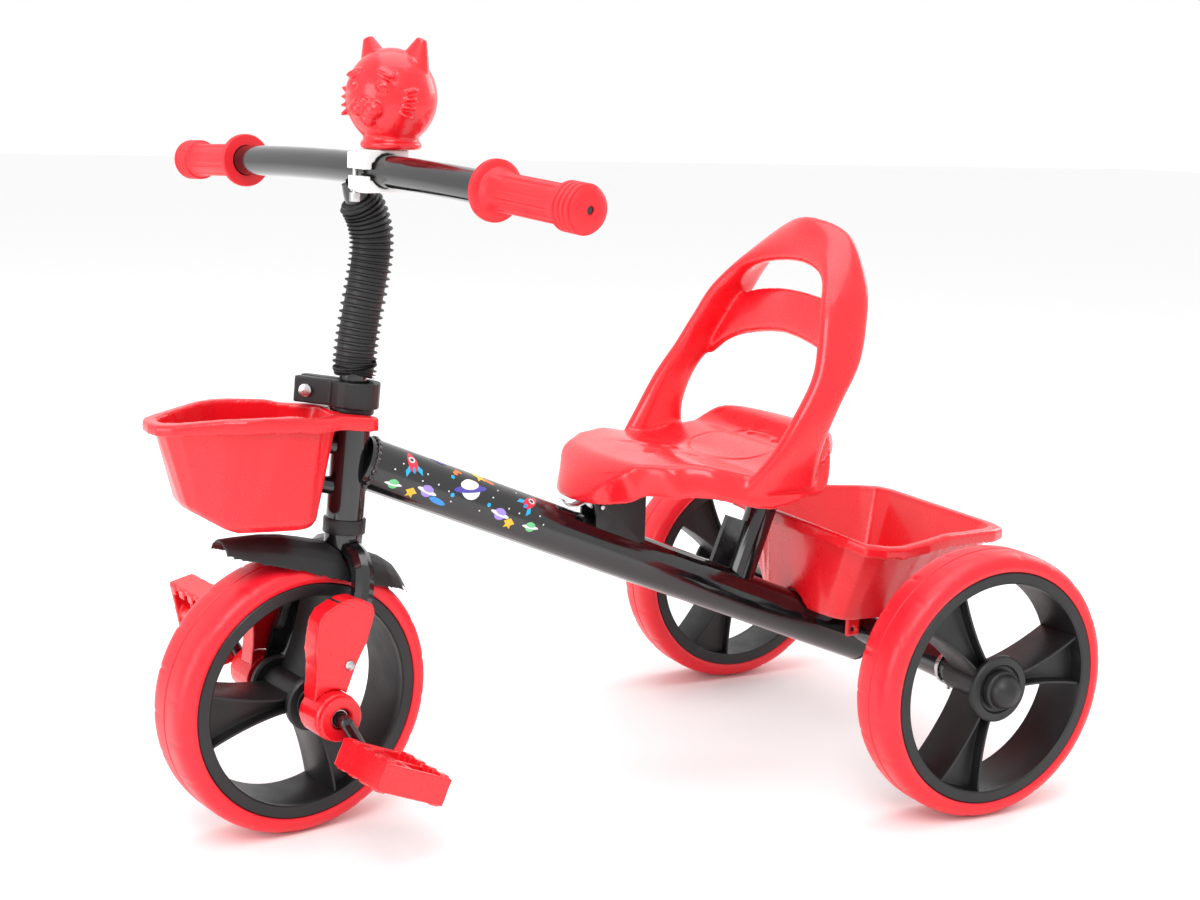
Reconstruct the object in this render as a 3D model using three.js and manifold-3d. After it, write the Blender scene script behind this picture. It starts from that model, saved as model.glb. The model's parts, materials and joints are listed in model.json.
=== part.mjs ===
// A children's tricycle: steel frame and fork, blow-moulded wheels, moulded seat and baskets.
// Millimetres, +Z up, the rider faces -Y and has the left hand at +X.
// The shapes are written with the front axle above y = 0; the last lines move the whole
// tricycle so that the middle of its box stands over the origin, on z = 0.

import * as THREE from 'three';
import { mergeVertices } from 'three/addons/utils/BufferGeometryUtils.js';
import Module from 'manifold-3d';

const wasm = await Module();
wasm.setup();

// ---------------------------------------------------------------- driving dimensions

const GAP = 0.3; // between pieces that touch or run in each other
const TOLERANCE = 0.02; // flat faces are kept in as few triangles as this allows
const TURN = 2 * Math.PI;
const degrees = (angle) => (angle * Math.PI) / 180;

// Wheels
const WHEELBASE = 516;
const WHEEL_SIDES = 36;
const REAR = {
  radius: 110, width: 48, seat: 95.5, bore: 85.5, hub: 15.4, flange: 27.3,
  inboard: 30, spokeTurn: degrees(9),
};
const FRONT = {
  radius: 107.2, width: 53.6, seat: 92.5, bore: 82, hub: 14.5, flange: 21.6,
  inboard: 29, spokeTurn: degrees(61),
};
const REAR_TRACK = 391; // between the middles of the rear tyres
const REAR_AXLE_RADIUS = 5;
const CAP = { radius: 16.3, length: 18, wall: 3 };

// Steering
const RAKE = degrees(4.4); // head tube leans back at the top
const AXIS_BEHIND_AXLE = 33.7; // steering axis behind the front axle, at axle height
const STEER_ANGLE = degrees(11.25); // the wheel stands turned to the left
const STEERER_RADIUS = 12.5;
const STEERER_WALL = 1.3;
const HEAD_TUBE = { radius: 14.7, low: 241, high: 322 };
const CROWN = { radius: 15, low: 211.5, high: 229 };
const LEG_RADIUS = 9;
const LEG_OUT = 45; // fork leg from the middle of the wheel
const LEG_STEPS = 18;
const LEG_SIDES = 10;

// Crank and pedals
const CRANK_RADIUS = 5;
const CRANK_ARM = 34;
const CRANK_OUT = 79.5; // the arm's distance from the middle of the wheel
const CRANK_ANGLE = degrees(-60); // left arm, seen from the left, from straight back
const PEDAL = { length: 62, width: 60, thick: 24, wall: 3, treads: 4 };
const PEDAL_TILT = { left: degrees(-24), right: degrees(-78) };

// Handlebar
const BAR_RADIUS = 12;
const BAR_HALF = 281;
const BAR_HEIGHT = 498; // bar's axis at its ends
const STEM_RADIUS = 11;
const SLEEVE = { radius: 17, inside: 12.2 };
const GRIP = { length: 107, radius: 13.4, flange: 21.4, bulb: 16.6, wall: 1.2 };
const CLAMP = { low: 327, high: 347, radius: 19.5, lug: 25, lugThick: 9, slit: 5 };

// Frame
const BEAM = {
  radius: 20.5, wall: 2, frontY: 68.4, frontZ: 279.3, rearY: WHEELBASE + 18, rearZ: 88.9,
};
const BEAM_SLOPE = (BEAM.rearZ - BEAM.frontZ) / (BEAM.rearY - BEAM.frontY);
const AXLE_TUBE_RADIUS = 13;
const POST = { radius: 13, wall: 2, footY: 405, topY: 433, plate: 3 }; // carries the seat's rear

// Seat
const SEAT = { front: 232, rear: 468, half: 114, wall: 4, drop: 26, hoop: 15, mountZ: 243 };

// Baskets
const BASKET_WALL = 3;
const RIM = { lip: 6, band: 11, wall: 2.4 };
const FRONT_BASKET = { low: 243, high: 326 };
const REAR_BASKET = { aboveBeam: 21.9, deep: 78, boltY: WHEELBASE - 24 };

// Bell on the handlebar
const BELL = { along: 30, radius: 34, neck: 21, yaw: 22 };

// ---------------------------------------------------------------- finishes

const finish = (color, roughness, metalness = 0) =>
  new THREE.MeshStandardMaterial({ color, roughness, metalness });
const RED_PLASTIC = finish(0xe4101d, 0.35);
const RED_TYRE = finish(0xe81b28, 0.45);
const RED_GRIP = finish(0xe0141f, 0.5);
const BLACK_PLASTIC = finish(0x121213, 0.4);
const BLACK_PAINT = finish(0x0b0b0c, 0.18, 0.1);
const WHITE_PLASTIC = finish(0xf0f0ee, 0.35);
const ZINC = finish(0xc4c7ca, 0.3, 1);

// ---------------------------------------------------------------- solid tools

// A closed three.js geometry as a manifold-3d solid, its doubled vertices merged.
function solid(geometry) {
  const bare = new THREE.BufferGeometry();
  bare.setAttribute('position', geometry.getAttribute('position'));
  if (geometry.index) bare.setIndex(geometry.index);
  const merged = mergeVertices(bare, 1e-4);
  const corner = merged.index.array;
  const triVerts = [];
  for (let i = 0; i < corner.length; i += 3) {
    const [a, b, c] = [corner[i], corner[i + 1], corner[i + 2]];
    if (a !== b && b !== c && c !== a) triVerts.push(a, b, c);
  }
  return new wasm.Manifold(new wasm.Mesh({
    numProp: 3,
    vertProperties: new Float32Array(merged.getAttribute('position').array),
    triVerts: new Uint32Array(triVerts),
  }));
}

const join = (...parts) => parts.reduce((whole, part) => whole.add(part));
const cut = (base, ...tools) => tools.reduce((whole, tool) => whole.subtract(tool), base);

// One named mesh from a manifold-3d solid.
function piece(name, shape, material) {
  const mesh = shape.simplify(TOLERANCE).getMesh();
  const geometry = new THREE.BufferGeometry();
  const corners = [];
  for (let i = 0; i < mesh.vertProperties.length; i += mesh.numProp) {
    corners.push(...mesh.vertProperties.slice(i, i + 3));
  }
  geometry.setAttribute('position', new THREE.Float32BufferAttribute(corners, 3));
  geometry.setIndex([...mesh.triVerts]);
  geometry.computeVertexNormals();
  const made = new THREE.Mesh(geometry, material);
  made.name = name;
  return made;
}

const vec = (x, y, z) => new THREE.Vector3(x, y, z);
const X_AXIS = vec(1, 0, 0);
const Z_AXIS = vec(0, 0, 1);

// A geometry made along +Y, turned to lie along `direction` and put at `place`.
function aim(geometry, direction, place) {
  const turn = new THREE.Quaternion().setFromUnitVectors(vec(0, 1, 0), direction.clone().normalize());
  return geometry.applyQuaternion(turn).translate(place.x, place.y, place.z);
}

// A round bar between two points.
function rod(from, to, radius, sides = 20) {
  const along = to.clone().sub(from);
  const bar = new THREE.CylinderGeometry(radius, radius, along.length(), sides);
  return solid(aim(bar, along, from.clone().add(to).multiplyScalar(0.5)));
}

// A round tube between two points, open at both ends.
function pipe(from, to, radius, inside, sides = 24) {
  const along = to.clone().sub(from).normalize();
  return cut(rod(from, to, radius, sides),
    rod(from.clone().sub(along), to.clone().add(along), inside, sides));
}

function box(wide, deep, high, place, turn = new THREE.Euler()) {
  const shape = new THREE.BoxGeometry(wide, deep, high).applyQuaternion(
    new THREE.Quaternion().setFromEuler(turn));
  return solid(shape.translate(place.x, place.y, place.z));
}

// A turned shape about +X through the origin. The profile is a list of [along, radius].
function turned(profile, sides = WHEEL_SIDES, phase = 0) {
  const outline = profile.map(([along, radius]) => new THREE.Vector2(radius, along));
  const shape = new THREE.LatheGeometry(outline, sides);
  return solid(shape.rotateY(phase).rotateZ(-Math.PI / 2));
}

// A turned shape whose axis starts at `place` and runs along `direction`.
function turnedAt(profile, direction, place, sides = 24) {
  const outline = profile.map(([along, radius]) => new THREE.Vector2(radius, along));
  return solid(aim(new THREE.LatheGeometry(outline, sides), direction, place));
}

// A flat outline of [x, y] points made `high` thick upwards from z = 0.
function prism(points, high) {
  const shape = new THREE.Shape(points.map(([x, y]) => new THREE.Vector2(x, y)));
  return new THREE.ExtrudeGeometry(shape, { depth: high, bevelEnabled: false });
}

// A round or oval section swept along a curve, closed at both ends.
function sweep(curve, radius, steps, sides = 16, flat = 1) {
  const section = new THREE.Shape();
  section.absellipse(0, 0, radius * flat, radius, 0, TURN);
  const points = section.getPoints(sides / 2);
  points.pop();
  const outline = new THREE.Shape(points);
  return solid(new THREE.ExtrudeGeometry(outline, { steps, bevelEnabled: false, extrudePath: curve }));
}

const through = (points, tension = 0.5) =>
  new THREE.CatmullRomCurve3(points, false, 'catmullrom', tension);

// A closed slab between two surfaces, each a function of u and v from 0 to 1.
function slab(columns, rows, upper, lower) {
  const across = columns + 1;
  const count = across * (rows + 1);
  const corners = [];
  for (const surface of [upper, lower]) {
    for (let j = 0; j <= rows; j++) {
      for (let i = 0; i <= columns; i++) corners.push(...surface(i / columns, j / rows));
    }
  }
  const faces = [];
  const quad = (a, b, c, d) => faces.push(a, b, c, a, c, d);
  for (let j = 0; j < rows; j++) {
    for (let i = 0; i < columns; i++) {
      const a = j * across + i;
      quad(a, a + 1, a + 1 + across, a + across);
      quad(count + a, count + a + across, count + a + 1 + across, count + a + 1);
    }
  }
  for (let i = 0; i < columns; i++) {
    const last = rows * across + i;
    quad(i, count + i, count + i + 1, i + 1);
    quad(last, last + 1, count + last + 1, count + last);
  }
  for (let j = 0; j < rows; j++) {
    const left = j * across;
    const right = left + columns;
    quad(left, left + across, count + left + across, count + left);
    quad(right, count + right, count + right + across, right + across);
  }
  const geometry = new THREE.BufferGeometry();
  geometry.setAttribute('position', new THREE.Float32BufferAttribute(corners, 3));
  geometry.setIndex(faces);
  return solid(geometry);
}

// A value that runs smoothly through [place, value] pairs.
function smooth(pairs) {
  return (place) => {
    let k = 0;
    while (k < pairs.length - 2 && place > pairs[k + 1][0]) k++;
    const [p0, v0] = pairs[k];
    const [p1, v1] = pairs[k + 1];
    const share = THREE.MathUtils.clamp((place - p0) / (p1 - p0), 0, 1);
    return v0 + (v1 - v0) * share * share * (3 - 2 * share);
  };
}

// ---------------------------------------------------------------- wheels

// A geometry drawn in a side view, [back, up] and thick along the axle.
const sideways = (geometry) => geometry.applyMatrix4(
  new THREE.Matrix4().makeBasis(vec(0, 1, 0), vec(0, 0, 1), vec(1, 0, 0)));

function tyre(wheel) {
  const half = wheel.width / 2;
  const flats = 1 / Math.cos(Math.PI / WHEEL_SIDES); // the flats, not the corners, have the radius
  const shoulder = [[half, 9], [half - 3, 4], [half - 11.5, 0]]
    .map(([along, drop]) => [along, (wheel.radius - drop) * flats]);
  const seat = wheel.seat * flats + GAP;
  const mirrored = shoulder.map(([along, radius]) => [-along, radius]);
  return turned([[-half, seat], ...mirrored, ...shoulder.reverse(), [half, seat], [-half, seat]],
    WHEEL_SIDES, Math.PI / WHEEL_SIDES);
}

// One wedge-shaped spoke from the hub to the rim, drawn at `shrink` inside its outline.
function spokeWedge(wheel, from, to, shrink) {
  const reach = wheel.bore - wheel.hub;
  const halfWidth = (r) => 6 + 16 * Math.max(0, (r - wheel.hub) / reach) ** 1.7 - shrink;
  const stations = 4;
  const side = [...Array(stations + 1).keys()].map((k) => from + ((to - from) * k) / stations);
  return [
    ...side.map((r) => [r, -halfWidth(r)]),
    ...side.reverse().map((r) => [r, halfWidth(r)]),
  ];
}

function spokes(wheel, outline, low, high) {
  return [0, 1, 2].map((k) => {
    const wedge = prism(outline, high - low).translate(0, 0, low).rotateZ(wheel.spokeTurn + (k * TURN) / 3);
    return solid(sideways(wedge));
  });
}

// Rim, hub barrel and three wedge spokes, open between them; +X is the outer side.
function wheelCore(wheel, hubLow, hubHigh, flanges) {
  const half = wheel.width / 2;
  const low = -half + 3;
  const high = half - 3.5;
  const rim = turned([
    [-half + 0.6, wheel.seat], [half - 0.6, wheel.seat], [half - 0.6, wheel.bore],
    [-half + 0.6, wheel.bore], [-half + 0.6, wheel.seat]], WHEEL_SIDES, Math.PI / WHEEL_SIDES);
  const barrel = turned([[hubLow, 0], [hubLow, wheel.hub], [hubHigh, wheel.hub], [hubHigh, 0]], 18);
  const discs = flanges.map(([from, to, radius]) =>
    turned([[from, 0], [from, radius], [to, radius], [to, 0]], 22));
  const wedge = spokeWedge(wheel, wheel.hub * 0.7, wheel.bore + 3, 0);
  const pocket = spokeWedge(wheel, wheel.hub + 8, wheel.bore - 2.5, 2.4);
  return cut(
    cut(join(rim, barrel, ...spokes(wheel, wedge, low, high), ...discs),
      ...spokes(wheel, pocket, high - 10, half + 4), ...spokes(wheel, pocket, -half - 4, low + 8)),
    turned([[hubLow - 1, 0], [hubLow - 1, CRANK_RADIUS + GAP],
      [hubHigh + 9, CRANK_RADIUS + GAP], [hubHigh + 9, 0]], 20));
}

const trike = new THREE.Group();

// A named joint's group: its children turn about its local X axis.
function pivot(parent, place) {
  const group = new THREE.Group();
  group.position.copy(place);
  parent.add(group);
  return group;
}

function addRearWheel(side, mirror) {
  const wheel = pivot(trike, vec((mirror * REAR_TRACK) / 2, WHEELBASE, REAR.radius));
  wheel.name = `rear_wheel_${side}_pivot`;
  const half = REAR.width / 2;
  const outer = half + 0.6;
  const core = wheelCore(REAR, -REAR.inboard, outer, [[half - 5, outer, REAR.flange]]);
  const cap = turned([
    [outer + GAP, REAR_AXLE_RADIUS + GAP], [outer + GAP, CAP.radius], [outer + 5, CAP.radius],
    [outer + 11, CAP.radius * 0.86], [outer + 15.5, CAP.radius * 0.55], [outer + CAP.length, 0],
    [outer + CAP.length - CAP.wall, 0], [outer + CAP.length - CAP.wall - 2, REAR_AXLE_RADIUS + GAP],
    [outer + GAP, REAR_AXLE_RADIUS + GAP]], 18);
  for (const [name, shape, material] of [
    ['rear_wheel', core, BLACK_PLASTIC], ['rear_tyre', tyre(REAR), RED_TYRE],
    ['axle_cap', cap, BLACK_PLASTIC]]) {
    const sided = mirror < 0 ? shape.mirror([1, 0, 0]) : shape;
    wheel.add(piece(`${name}_${side}`, sided, material));
  }
}
addRearWheel('left', 1);
addRearWheel('right', -1);

// ---------------------------------------------------------------- frame

const axisY = (z) => AXIS_BEHIND_AXLE + Math.tan(RAKE) * (z - FRONT.radius);
const onAxis = (z) => vec(0, axisY(z), z);
const beamZ = (y) => BEAM.frontZ + BEAM_SLOPE * (y - BEAM.frontY);
const beamAt = (y, x = 0, lift = 0) => vec(x, y, beamZ(y) + lift);
const BEAM_TILT = Math.atan(BEAM_SLOPE);

// The front basket's back wall leans from its floor to its rim.
const BACK_WALL = { lowY: 12, highY: 31 };
const BACK_LEAN = Math.atan((BACK_WALL.highY - BACK_WALL.lowY) / (FRONT_BASKET.high - FRONT_BASKET.low));
const backWall = (z, out = 0) => vec(0, BACK_WALL.lowY + Math.tan(BACK_LEAN) * (z - FRONT_BASKET.low), z)
  .addScaledVector(vec(0, Math.cos(BACK_LEAN), -Math.sin(BACK_LEAN)), out);

// The welded post's axis, and the level of the seat plate on top of it.
const postAt = (z) => {
  const footZ = beamZ(POST.footY) + BEAM.radius;
  const share = (z - footZ) / (SEAT.mountZ - footZ);
  return vec(0, POST.footY + (POST.topY - POST.footY) * share, z);
};
const SEAT_SCREWS = [[-20, POST.topY - 6], [20, POST.topY - 6]];
const BASKET_SCREWS = [270, 300]; // heights of the two screws that hold the front basket
const BRACKET_Y = 278; // seat bracket on top of the beam

function addFrame() {
  const head = rod(onAxis(HEAD_TUBE.low), onAxis(HEAD_TUBE.high), HEAD_TUBE.radius, 22);
  const beam = rod(beamAt(BEAM.frontY - 12), beamAt(BEAM.rearY), BEAM.radius, 24);
  const hollow = rod(beamAt(BEAM.frontY + 6), beamAt(BEAM.rearY + 2), BEAM.radius - BEAM.wall, 24);
  const tubeEnd = REAR_TRACK / 2 - REAR.inboard - 1.2;
  const axleAt = (x) => vec(x, WHEELBASE, REAR.radius);
  const axleTube = rod(axleAt(-tubeEnd), axleAt(tubeEnd), AXLE_TUBE_RADIUS, 18);
  const bore = rod(axleAt(-tubeEnd - 1), axleAt(tubeEnd + 1), REAR_AXLE_RADIUS + GAP, 16);
  const headBore = rod(onAxis(HEAD_TUBE.low - 1), onAxis(HEAD_TUBE.high + 1), STEERER_RADIUS + 0.5, 20);

  const plateLow = SEAT.mountZ - POST.plate;
  const footZ = beamZ(POST.footY) + BEAM.radius;
  const post = rod(postAt(footZ - 12), postAt(plateLow + 1), POST.radius, 16);
  const postBore = rod(postAt(footZ - 14), postAt(plateLow - 4), POST.radius - POST.wall, 14);
  const gusset = box(5, 26, 56, vec(0, POST.footY - 13, footZ + 22), new THREE.Euler(degrees(-20), 0, 0));
  const plate = box(64, 44, POST.plate, vec(0, POST.topY, SEAT.mountZ - POST.plate / 2));
  const plateHoles = SEAT_SCREWS.map(([x, y]) =>
    rod(vec(x, y, plateLow - 3), vec(x, y, plateLow + 6), 2.5 + GAP, 12));

  const bosses = BASKET_SCREWS.map((z) => rod(backWall(z, GAP), backWall(z, 16), 7, 12));
  const bossHoles = BASKET_SCREWS.map((z) => rod(backWall(z), backWall(z, 9), 2.5 + GAP, 10));
  const bracketHole = rod(beamAt(BRACKET_Y, 0, 10), beamAt(BRACKET_Y, 0, 40), 3 + GAP, 12);
  const basketHole = rod(beamAt(REAR_BASKET.boltY, 0, 10), beamAt(REAR_BASKET.boltY, 0, 40), 3 + GAP, 12);
  const tubes = cut(join(head, beam, ...bosses, post, gusset), hollow, postBore);
  const frame = cut(join(tubes, axleTube, plate), bore, headBore, bracketHole, basketHole,
    ...plateHoles, ...bossHoles);
  trike.add(piece('frame', frame, BLACK_PAINT));

  const endAt = (along) => beamAt(BEAM.rearY + along * Math.cos(BEAM_TILT));
  const cap = join(rod(endAt(-3), endAt(GAP), BEAM.radius - BEAM.wall - GAP, 20),
    rod(endAt(GAP), endAt(3.5), BEAM.radius, 20));
  trike.add(piece('beam_end_cap', cap, BLACK_PLASTIC));

  const tip = REAR_TRACK / 2 + REAR.width / 2 + 6;
  trike.add(piece('rear_axle', rod(axleAt(-tip), axleAt(tip), REAR_AXLE_RADIUS, 20), ZINC));
  for (const [side, mirror] of [['left', 1], ['right', -1]]) {
    const x = mirror * (tubeEnd - 8);
    const clear = AXLE_TUBE_RADIUS + GAP;
    const collar = join(
      pipe(axleAt(x - 2), axleAt(x + 2), AXLE_TUBE_RADIUS + 1.8, clear, 16),
      rod(axleAt(x).setZ(REAR.radius - clear - 0.6), axleAt(x).setZ(REAR.radius - clear - 6), 1.6, 10));
    trike.add(piece(`axle_clip_${side}`, collar, ZINC));
  }

  for (const [name, low, high, radius] of [
    ['headset_lower_ring', CROWN.high + GAP, HEAD_TUBE.low - GAP, HEAD_TUBE.radius + 1.8],
    ['headset_upper_ring', HEAD_TUBE.high + GAP, CLAMP.low - GAP, HEAD_TUBE.radius + 1.2]]) {
    trike.add(piece(name, pipe(onAxis(low), onAxis(high), radius, STEERER_RADIUS + GAP, 20), BLACK_PLASTIC));
  }
}
addFrame();

// ---------------------------------------------------------------- steering

// Everything here is drawn with the wheel straight; the group turns it about the steering axis.
const steering = new THREE.Group();
steering.name = 'steering_pivot';
const AXIS_FOOT = onAxis(FRONT.radius);
const AXIS_DIRECTION = vec(0, Math.sin(RAKE), Math.cos(RAKE));
steering.quaternion.setFromAxisAngle(AXIS_DIRECTION, STEER_ANGLE);
steering.position.copy(AXIS_FOOT).sub(AXIS_FOOT.clone().applyQuaternion(steering.quaternion));
trike.add(steering);

const HOUSING = { inner: LEG_OUT - 3.7, outer: LEG_OUT + 28, radius: 18.5 };
const frontAxle = (x) => vec(x, 0, FRONT.radius);

function legPath() {
  const half = [[18, axisY(218) - 0.5, 217], [35, 39, 209], [LEG_OUT - 1, 34, 193],
    [LEG_OUT, 27.5, 174], [LEG_OUT, 16, 144], [LEG_OUT, 9, 127.5]];
  const left = half.map(([out, y, z]) => vec(out, y, z));
  const right = half.map(([out, y, z]) => vec(-out, y, z)).reverse();
  return through([...right, vec(0, axisY(218), 218.5), ...left], 0.4);
}

function addFork() {
  const steerer = rod(onAxis(CROWN.low + 2), onAxis(CLAMP.high - 1), STEERER_RADIUS, 20);
  const crown = rod(onAxis(CROWN.low), onAxis(CROWN.high), CROWN.radius, 20);
  const legs = sweep(legPath(), LEG_RADIUS, LEG_STEPS, LEG_SIDES);
  const plates = [1, -1].map((mirror) => box(4, 17, 52,
    vec(mirror * (LEG_OUT - 6), 4, FRONT.radius + 14), new THREE.Euler(degrees(-16), 0, 0)));
  const bore = rod(onAxis(CROWN.high + 2), onAxis(CLAMP.high + 1), STEERER_RADIUS - STEERER_WALL, 18);
  const axleHole = rod(frontAxle(-LEG_OUT - 9), frontAxle(LEG_OUT + 9), CRANK_RADIUS + GAP, 20);
  steering.add(piece('fork', cut(join(steerer, crown, legs, ...plates), bore, axleHole), BLACK_PAINT));
}

// Pointed guard over the tyre; its sides hang down like a gull's wings.
const GUARD = { half: 31, tip: 3, droop: 24, thick: 2 };
function addMudguard() {
  const ridge = new THREE.SplineCurve([[-63, 237], [-22, 236], [14, 228], [48, 217], [80, 203], [95, 183]]
    .map(([y, z]) => new THREE.Vector2(y, z)));
  const surface = (lift) => (u, v) => {
    const across = 2 * u - 1;
    const spread = Math.sin(Math.PI * Math.min(1, v * 0.9 + 0.06)) ** 0.6;
    const half = GUARD.tip + (GUARD.half - GUARD.tip) * spread;
    const line = ridge.getPoint(v);
    return [across * half, line.x, line.y - GUARD.droop * across ** 2 * spread + lift];
  };
  const guard = slab(8, 12, surface(0), surface(-GUARD.thick));
  const neck = rod(onAxis(CROWN.low - 40), onAxis(CROWN.high + 4), CROWN.radius + GAP, 20);
  const legs = sweep(legPath(), LEG_RADIUS + GAP, LEG_STEPS, LEG_SIDES);
  steering.add(piece('mudguard', cut(guard, neck, legs), BLACK_PLASTIC));
}

function petal(shrink) {
  const centre = (z) => 0.24 * (z - FRONT.radius) - 4.5;
  const half = smooth([[116, 13], [135, 15.5], [165, 23], [182, 23.5], [194, 15]]);
  const levels = [118 + shrink, 126, 135, 146, 158, 170, 180, 187, 191.5, 194 - shrink];
  const width = (z) => (z > 190 ? half(z) - 3 * (z - 190) : half(z)) - shrink;
  return [
    ...levels.map((z) => [centre(z) + width(z), z]),
    ...[...levels].reverse().map((z) => [centre(z) - width(z), z]),
  ];
}

function addLegCover(side, mirror) {
  const inner = LEG_OUT - 4;
  const outer = LEG_OUT + 14;
  const wall = 2.4;
  const block = (points, low, high) => solid(sideways(prism(points, high - low).translate(0, 0, low)));
  const shell = cut(block(petal(0), inner, outer), block(petal(wall), inner - 1, outer - wall));
  const housing = rod(frontAxle(inner - 4), frontAxle(outer + 4), HOUSING.radius + GAP, 22);
  const screwHole = rod(vec(outer - 6, 14.5, 143), vec(outer + 4, 14.5, 143), 2 + GAP, 12);
  const plate = box(4 + 2 * GAP, 17 + 2 * GAP, 54, vec(LEG_OUT - 6, 4, FRONT.radius + 14),
    new THREE.Euler(degrees(-16), 0, 0));
  const leg = sweep(legPath(), LEG_RADIUS + GAP, LEG_STEPS, LEG_SIDES);
  const cover = cut(shell, housing, screwHole, plate, leg);
  const screw = turnedAt([[-3.4, 0], [-3.4, 2], [GAP, 2], [GAP, 4.2], [1.6, 3.6], [2.4, 1.8], [2.4, 0]],
    X_AXIS, vec(outer, 14.5, 143), 10);
  for (const [name, shape, material] of [
    [`leg_cover_${side}`, cover, RED_PLASTIC], [`cover_screw_${side}`, screw, ZINC]]) {
    steering.add(piece(name, mirror < 0 ? shape.mirror([1, 0, 0]) : shape, material));
  }
}

function addHousing(side, mirror) {
  const { inner, outer, radius } = HOUSING;
  const body = turned([[inner, 0], [inner, radius], [outer - 6, radius], [outer - 6, radius - 1.2],
    [outer, radius - 1.2], [outer, 8.2], [outer - 10, 8.2], [outer - 10, 0]], 22);
  const hole = turned([[inner - 1, 0], [inner - 1, CRANK_RADIUS + GAP],
    [outer, CRANK_RADIUS + GAP], [outer, 0]], 20);
  const leg = sweep(legPath(), LEG_RADIUS + GAP, LEG_STEPS, LEG_SIDES).translate(0, 0, -FRONT.radius);
  const shape = cut(body, hole, leg);
  const at = pivot(steering, frontAxle(0));
  at.add(piece(`axle_housing_${side}`, mirror < 0 ? shape.mirror([1, 0, 0]) : shape, RED_PLASTIC));
}

addFork();
addMudguard();
for (const [side, mirror] of [['left', 1], ['right', -1]]) {
  addLegCover(side, mirror);
  addHousing(side, mirror);
}

// ---------------------------------------------------------------- front wheel, crank and pedals

const crank = pivot(steering, frontAxle(0));
crank.name = 'crank_pivot';
const armEnd = (mirror) => vec(mirror * CRANK_OUT,
  mirror * CRANK_ARM * Math.cos(CRANK_ANGLE), mirror * CRANK_ARM * Math.sin(CRANK_ANGLE));

function addFrontWheel() {
  const half = FRONT.width / 2;
  const reach = half + 4;
  crank.add(piece('front_wheel', wheelCore(FRONT, -reach, reach,
    [[half, reach, FRONT.flange], [-reach, -half, FRONT.flange]]), BLACK_PLASTIC));
  crank.add(piece('front_tyre', tyre(FRONT), RED_TYRE));

  const bars = [];
  for (const mirror of [1, -1]) {
    const bend = vec(mirror * CRANK_OUT, 0, 0);
    const end = armEnd(mirror);
    const tip = end.clone().add(vec(mirror * (PEDAL.length - 2), 0, 0));
    for (const corner of [bend, end]) {
      bars.push(solid(new THREE.SphereGeometry(CRANK_RADIUS, 8, 6).translate(...corner.toArray())));
    }
    bars.push(rod(vec(0, 0, 0), bend, CRANK_RADIUS, 12), rod(bend, end, CRANK_RADIUS, 12),
      rod(end, tip, CRANK_RADIUS, 12));
  }
  crank.add(piece('crank_axle', join(...bars), BLACK_PAINT));
  for (const [side, mirror] of [['left', 1], ['right', -1]]) {
    const ring = solid(new THREE.TorusGeometry(CRANK_RADIUS + GAP + 1.3, 1, 6, 12).rotateY(Math.PI / 2));
    crank.add(piece(`split_ring_${side}`, ring.translate(mirror * (HOUSING.outer - 4), 0, 0), ZINC));
  }
}
addFrontWheel();

// A hollow block round its spindle, with notched treads above and below.
function addPedal(side, mirror) {
  const { length, width, thick, wall, treads } = PEDAL;
  const group = pivot(crank, armEnd(mirror));
  group.name = `pedal_${side}_pivot`;
  const start = CRANK_RADIUS + 2;
  const middle = start + length / 2;
  const parts = [box(wall + 1, width, thick - 3, vec(start + (wall + 1) / 2, 0, 0)),
    box(wall + 1, width, thick - 3, vec(start + length - (wall + 1) / 2, 0, 0)),
    rod(vec(start, 0, 0), vec(start + length - 1, 0, 0), CRANK_RADIUS + 4, 12)];
  for (const edge of [1, -1]) {
    parts.push(box(length, wall + 2, thick - 3, vec(middle, edge * (width / 2 - (wall + 2) / 2), 0)));
    for (let k = 0; k < treads; k++) {
      const along = start + ((k + 0.5) * length) / treads;
      parts.push(box(length / treads / 1.8, 8, thick, vec(along, edge * (width / 2 - 5), 0)));
    }
  }
  parts.push(box(wall, width - 2, thick - 6, vec(middle, 0, 0)));
  const bore = rod(vec(start - 1, 0, 0), vec(start + length - 5, 0, 0), CRANK_RADIUS + GAP, 12);
  const pedal = cut(join(...parts), bore);
  group.add(piece(`pedal_${side}`, mirror < 0 ? pedal.mirror([1, 0, 0]) : pedal, RED_PLASTIC));
  group.children[0].rotation.x = PEDAL_TILT[side];
}
addPedal('left', 1);
addPedal('right', -1);

// ---------------------------------------------------------------- handlebar

const BAR_STRAIGHT = 170; // the bar is straight outside this distance from its middle
const BAR_SLOPE = 0.05;
const BAR_Y = 52.5;

// The bar's axis: a flat arch whose ends run straight.
class BarLine extends THREE.Curve {
  constructor(half) {
    super();
    this.half = half;
  }

  getPoint(t) {
    const x = (2 * t - 1) * this.half;
    const out = Math.abs(x);
    const rise = out > BAR_STRAIGHT
      ? BAR_SLOPE * (BAR_HALF - out)
      : BAR_SLOPE * (BAR_HALF - BAR_STRAIGHT / 2 - (x * x) / (2 * BAR_STRAIGHT));
    return vec(x, BAR_Y, BAR_HEIGHT + rise);
  }
}

const STEM_BEND = [[51.2, 362], [53.4, 380], [57, 400], [61.4, 422], [64.6, 441], [64.8, 458],
  [60.6, 473], [53.5, 485]];

function stemPath(first, last) {
  const points = STEM_BEND.map(([y, z]) => vec(0, y, z));
  return through([...first, ...points, ...last], 0.5);
}

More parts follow.
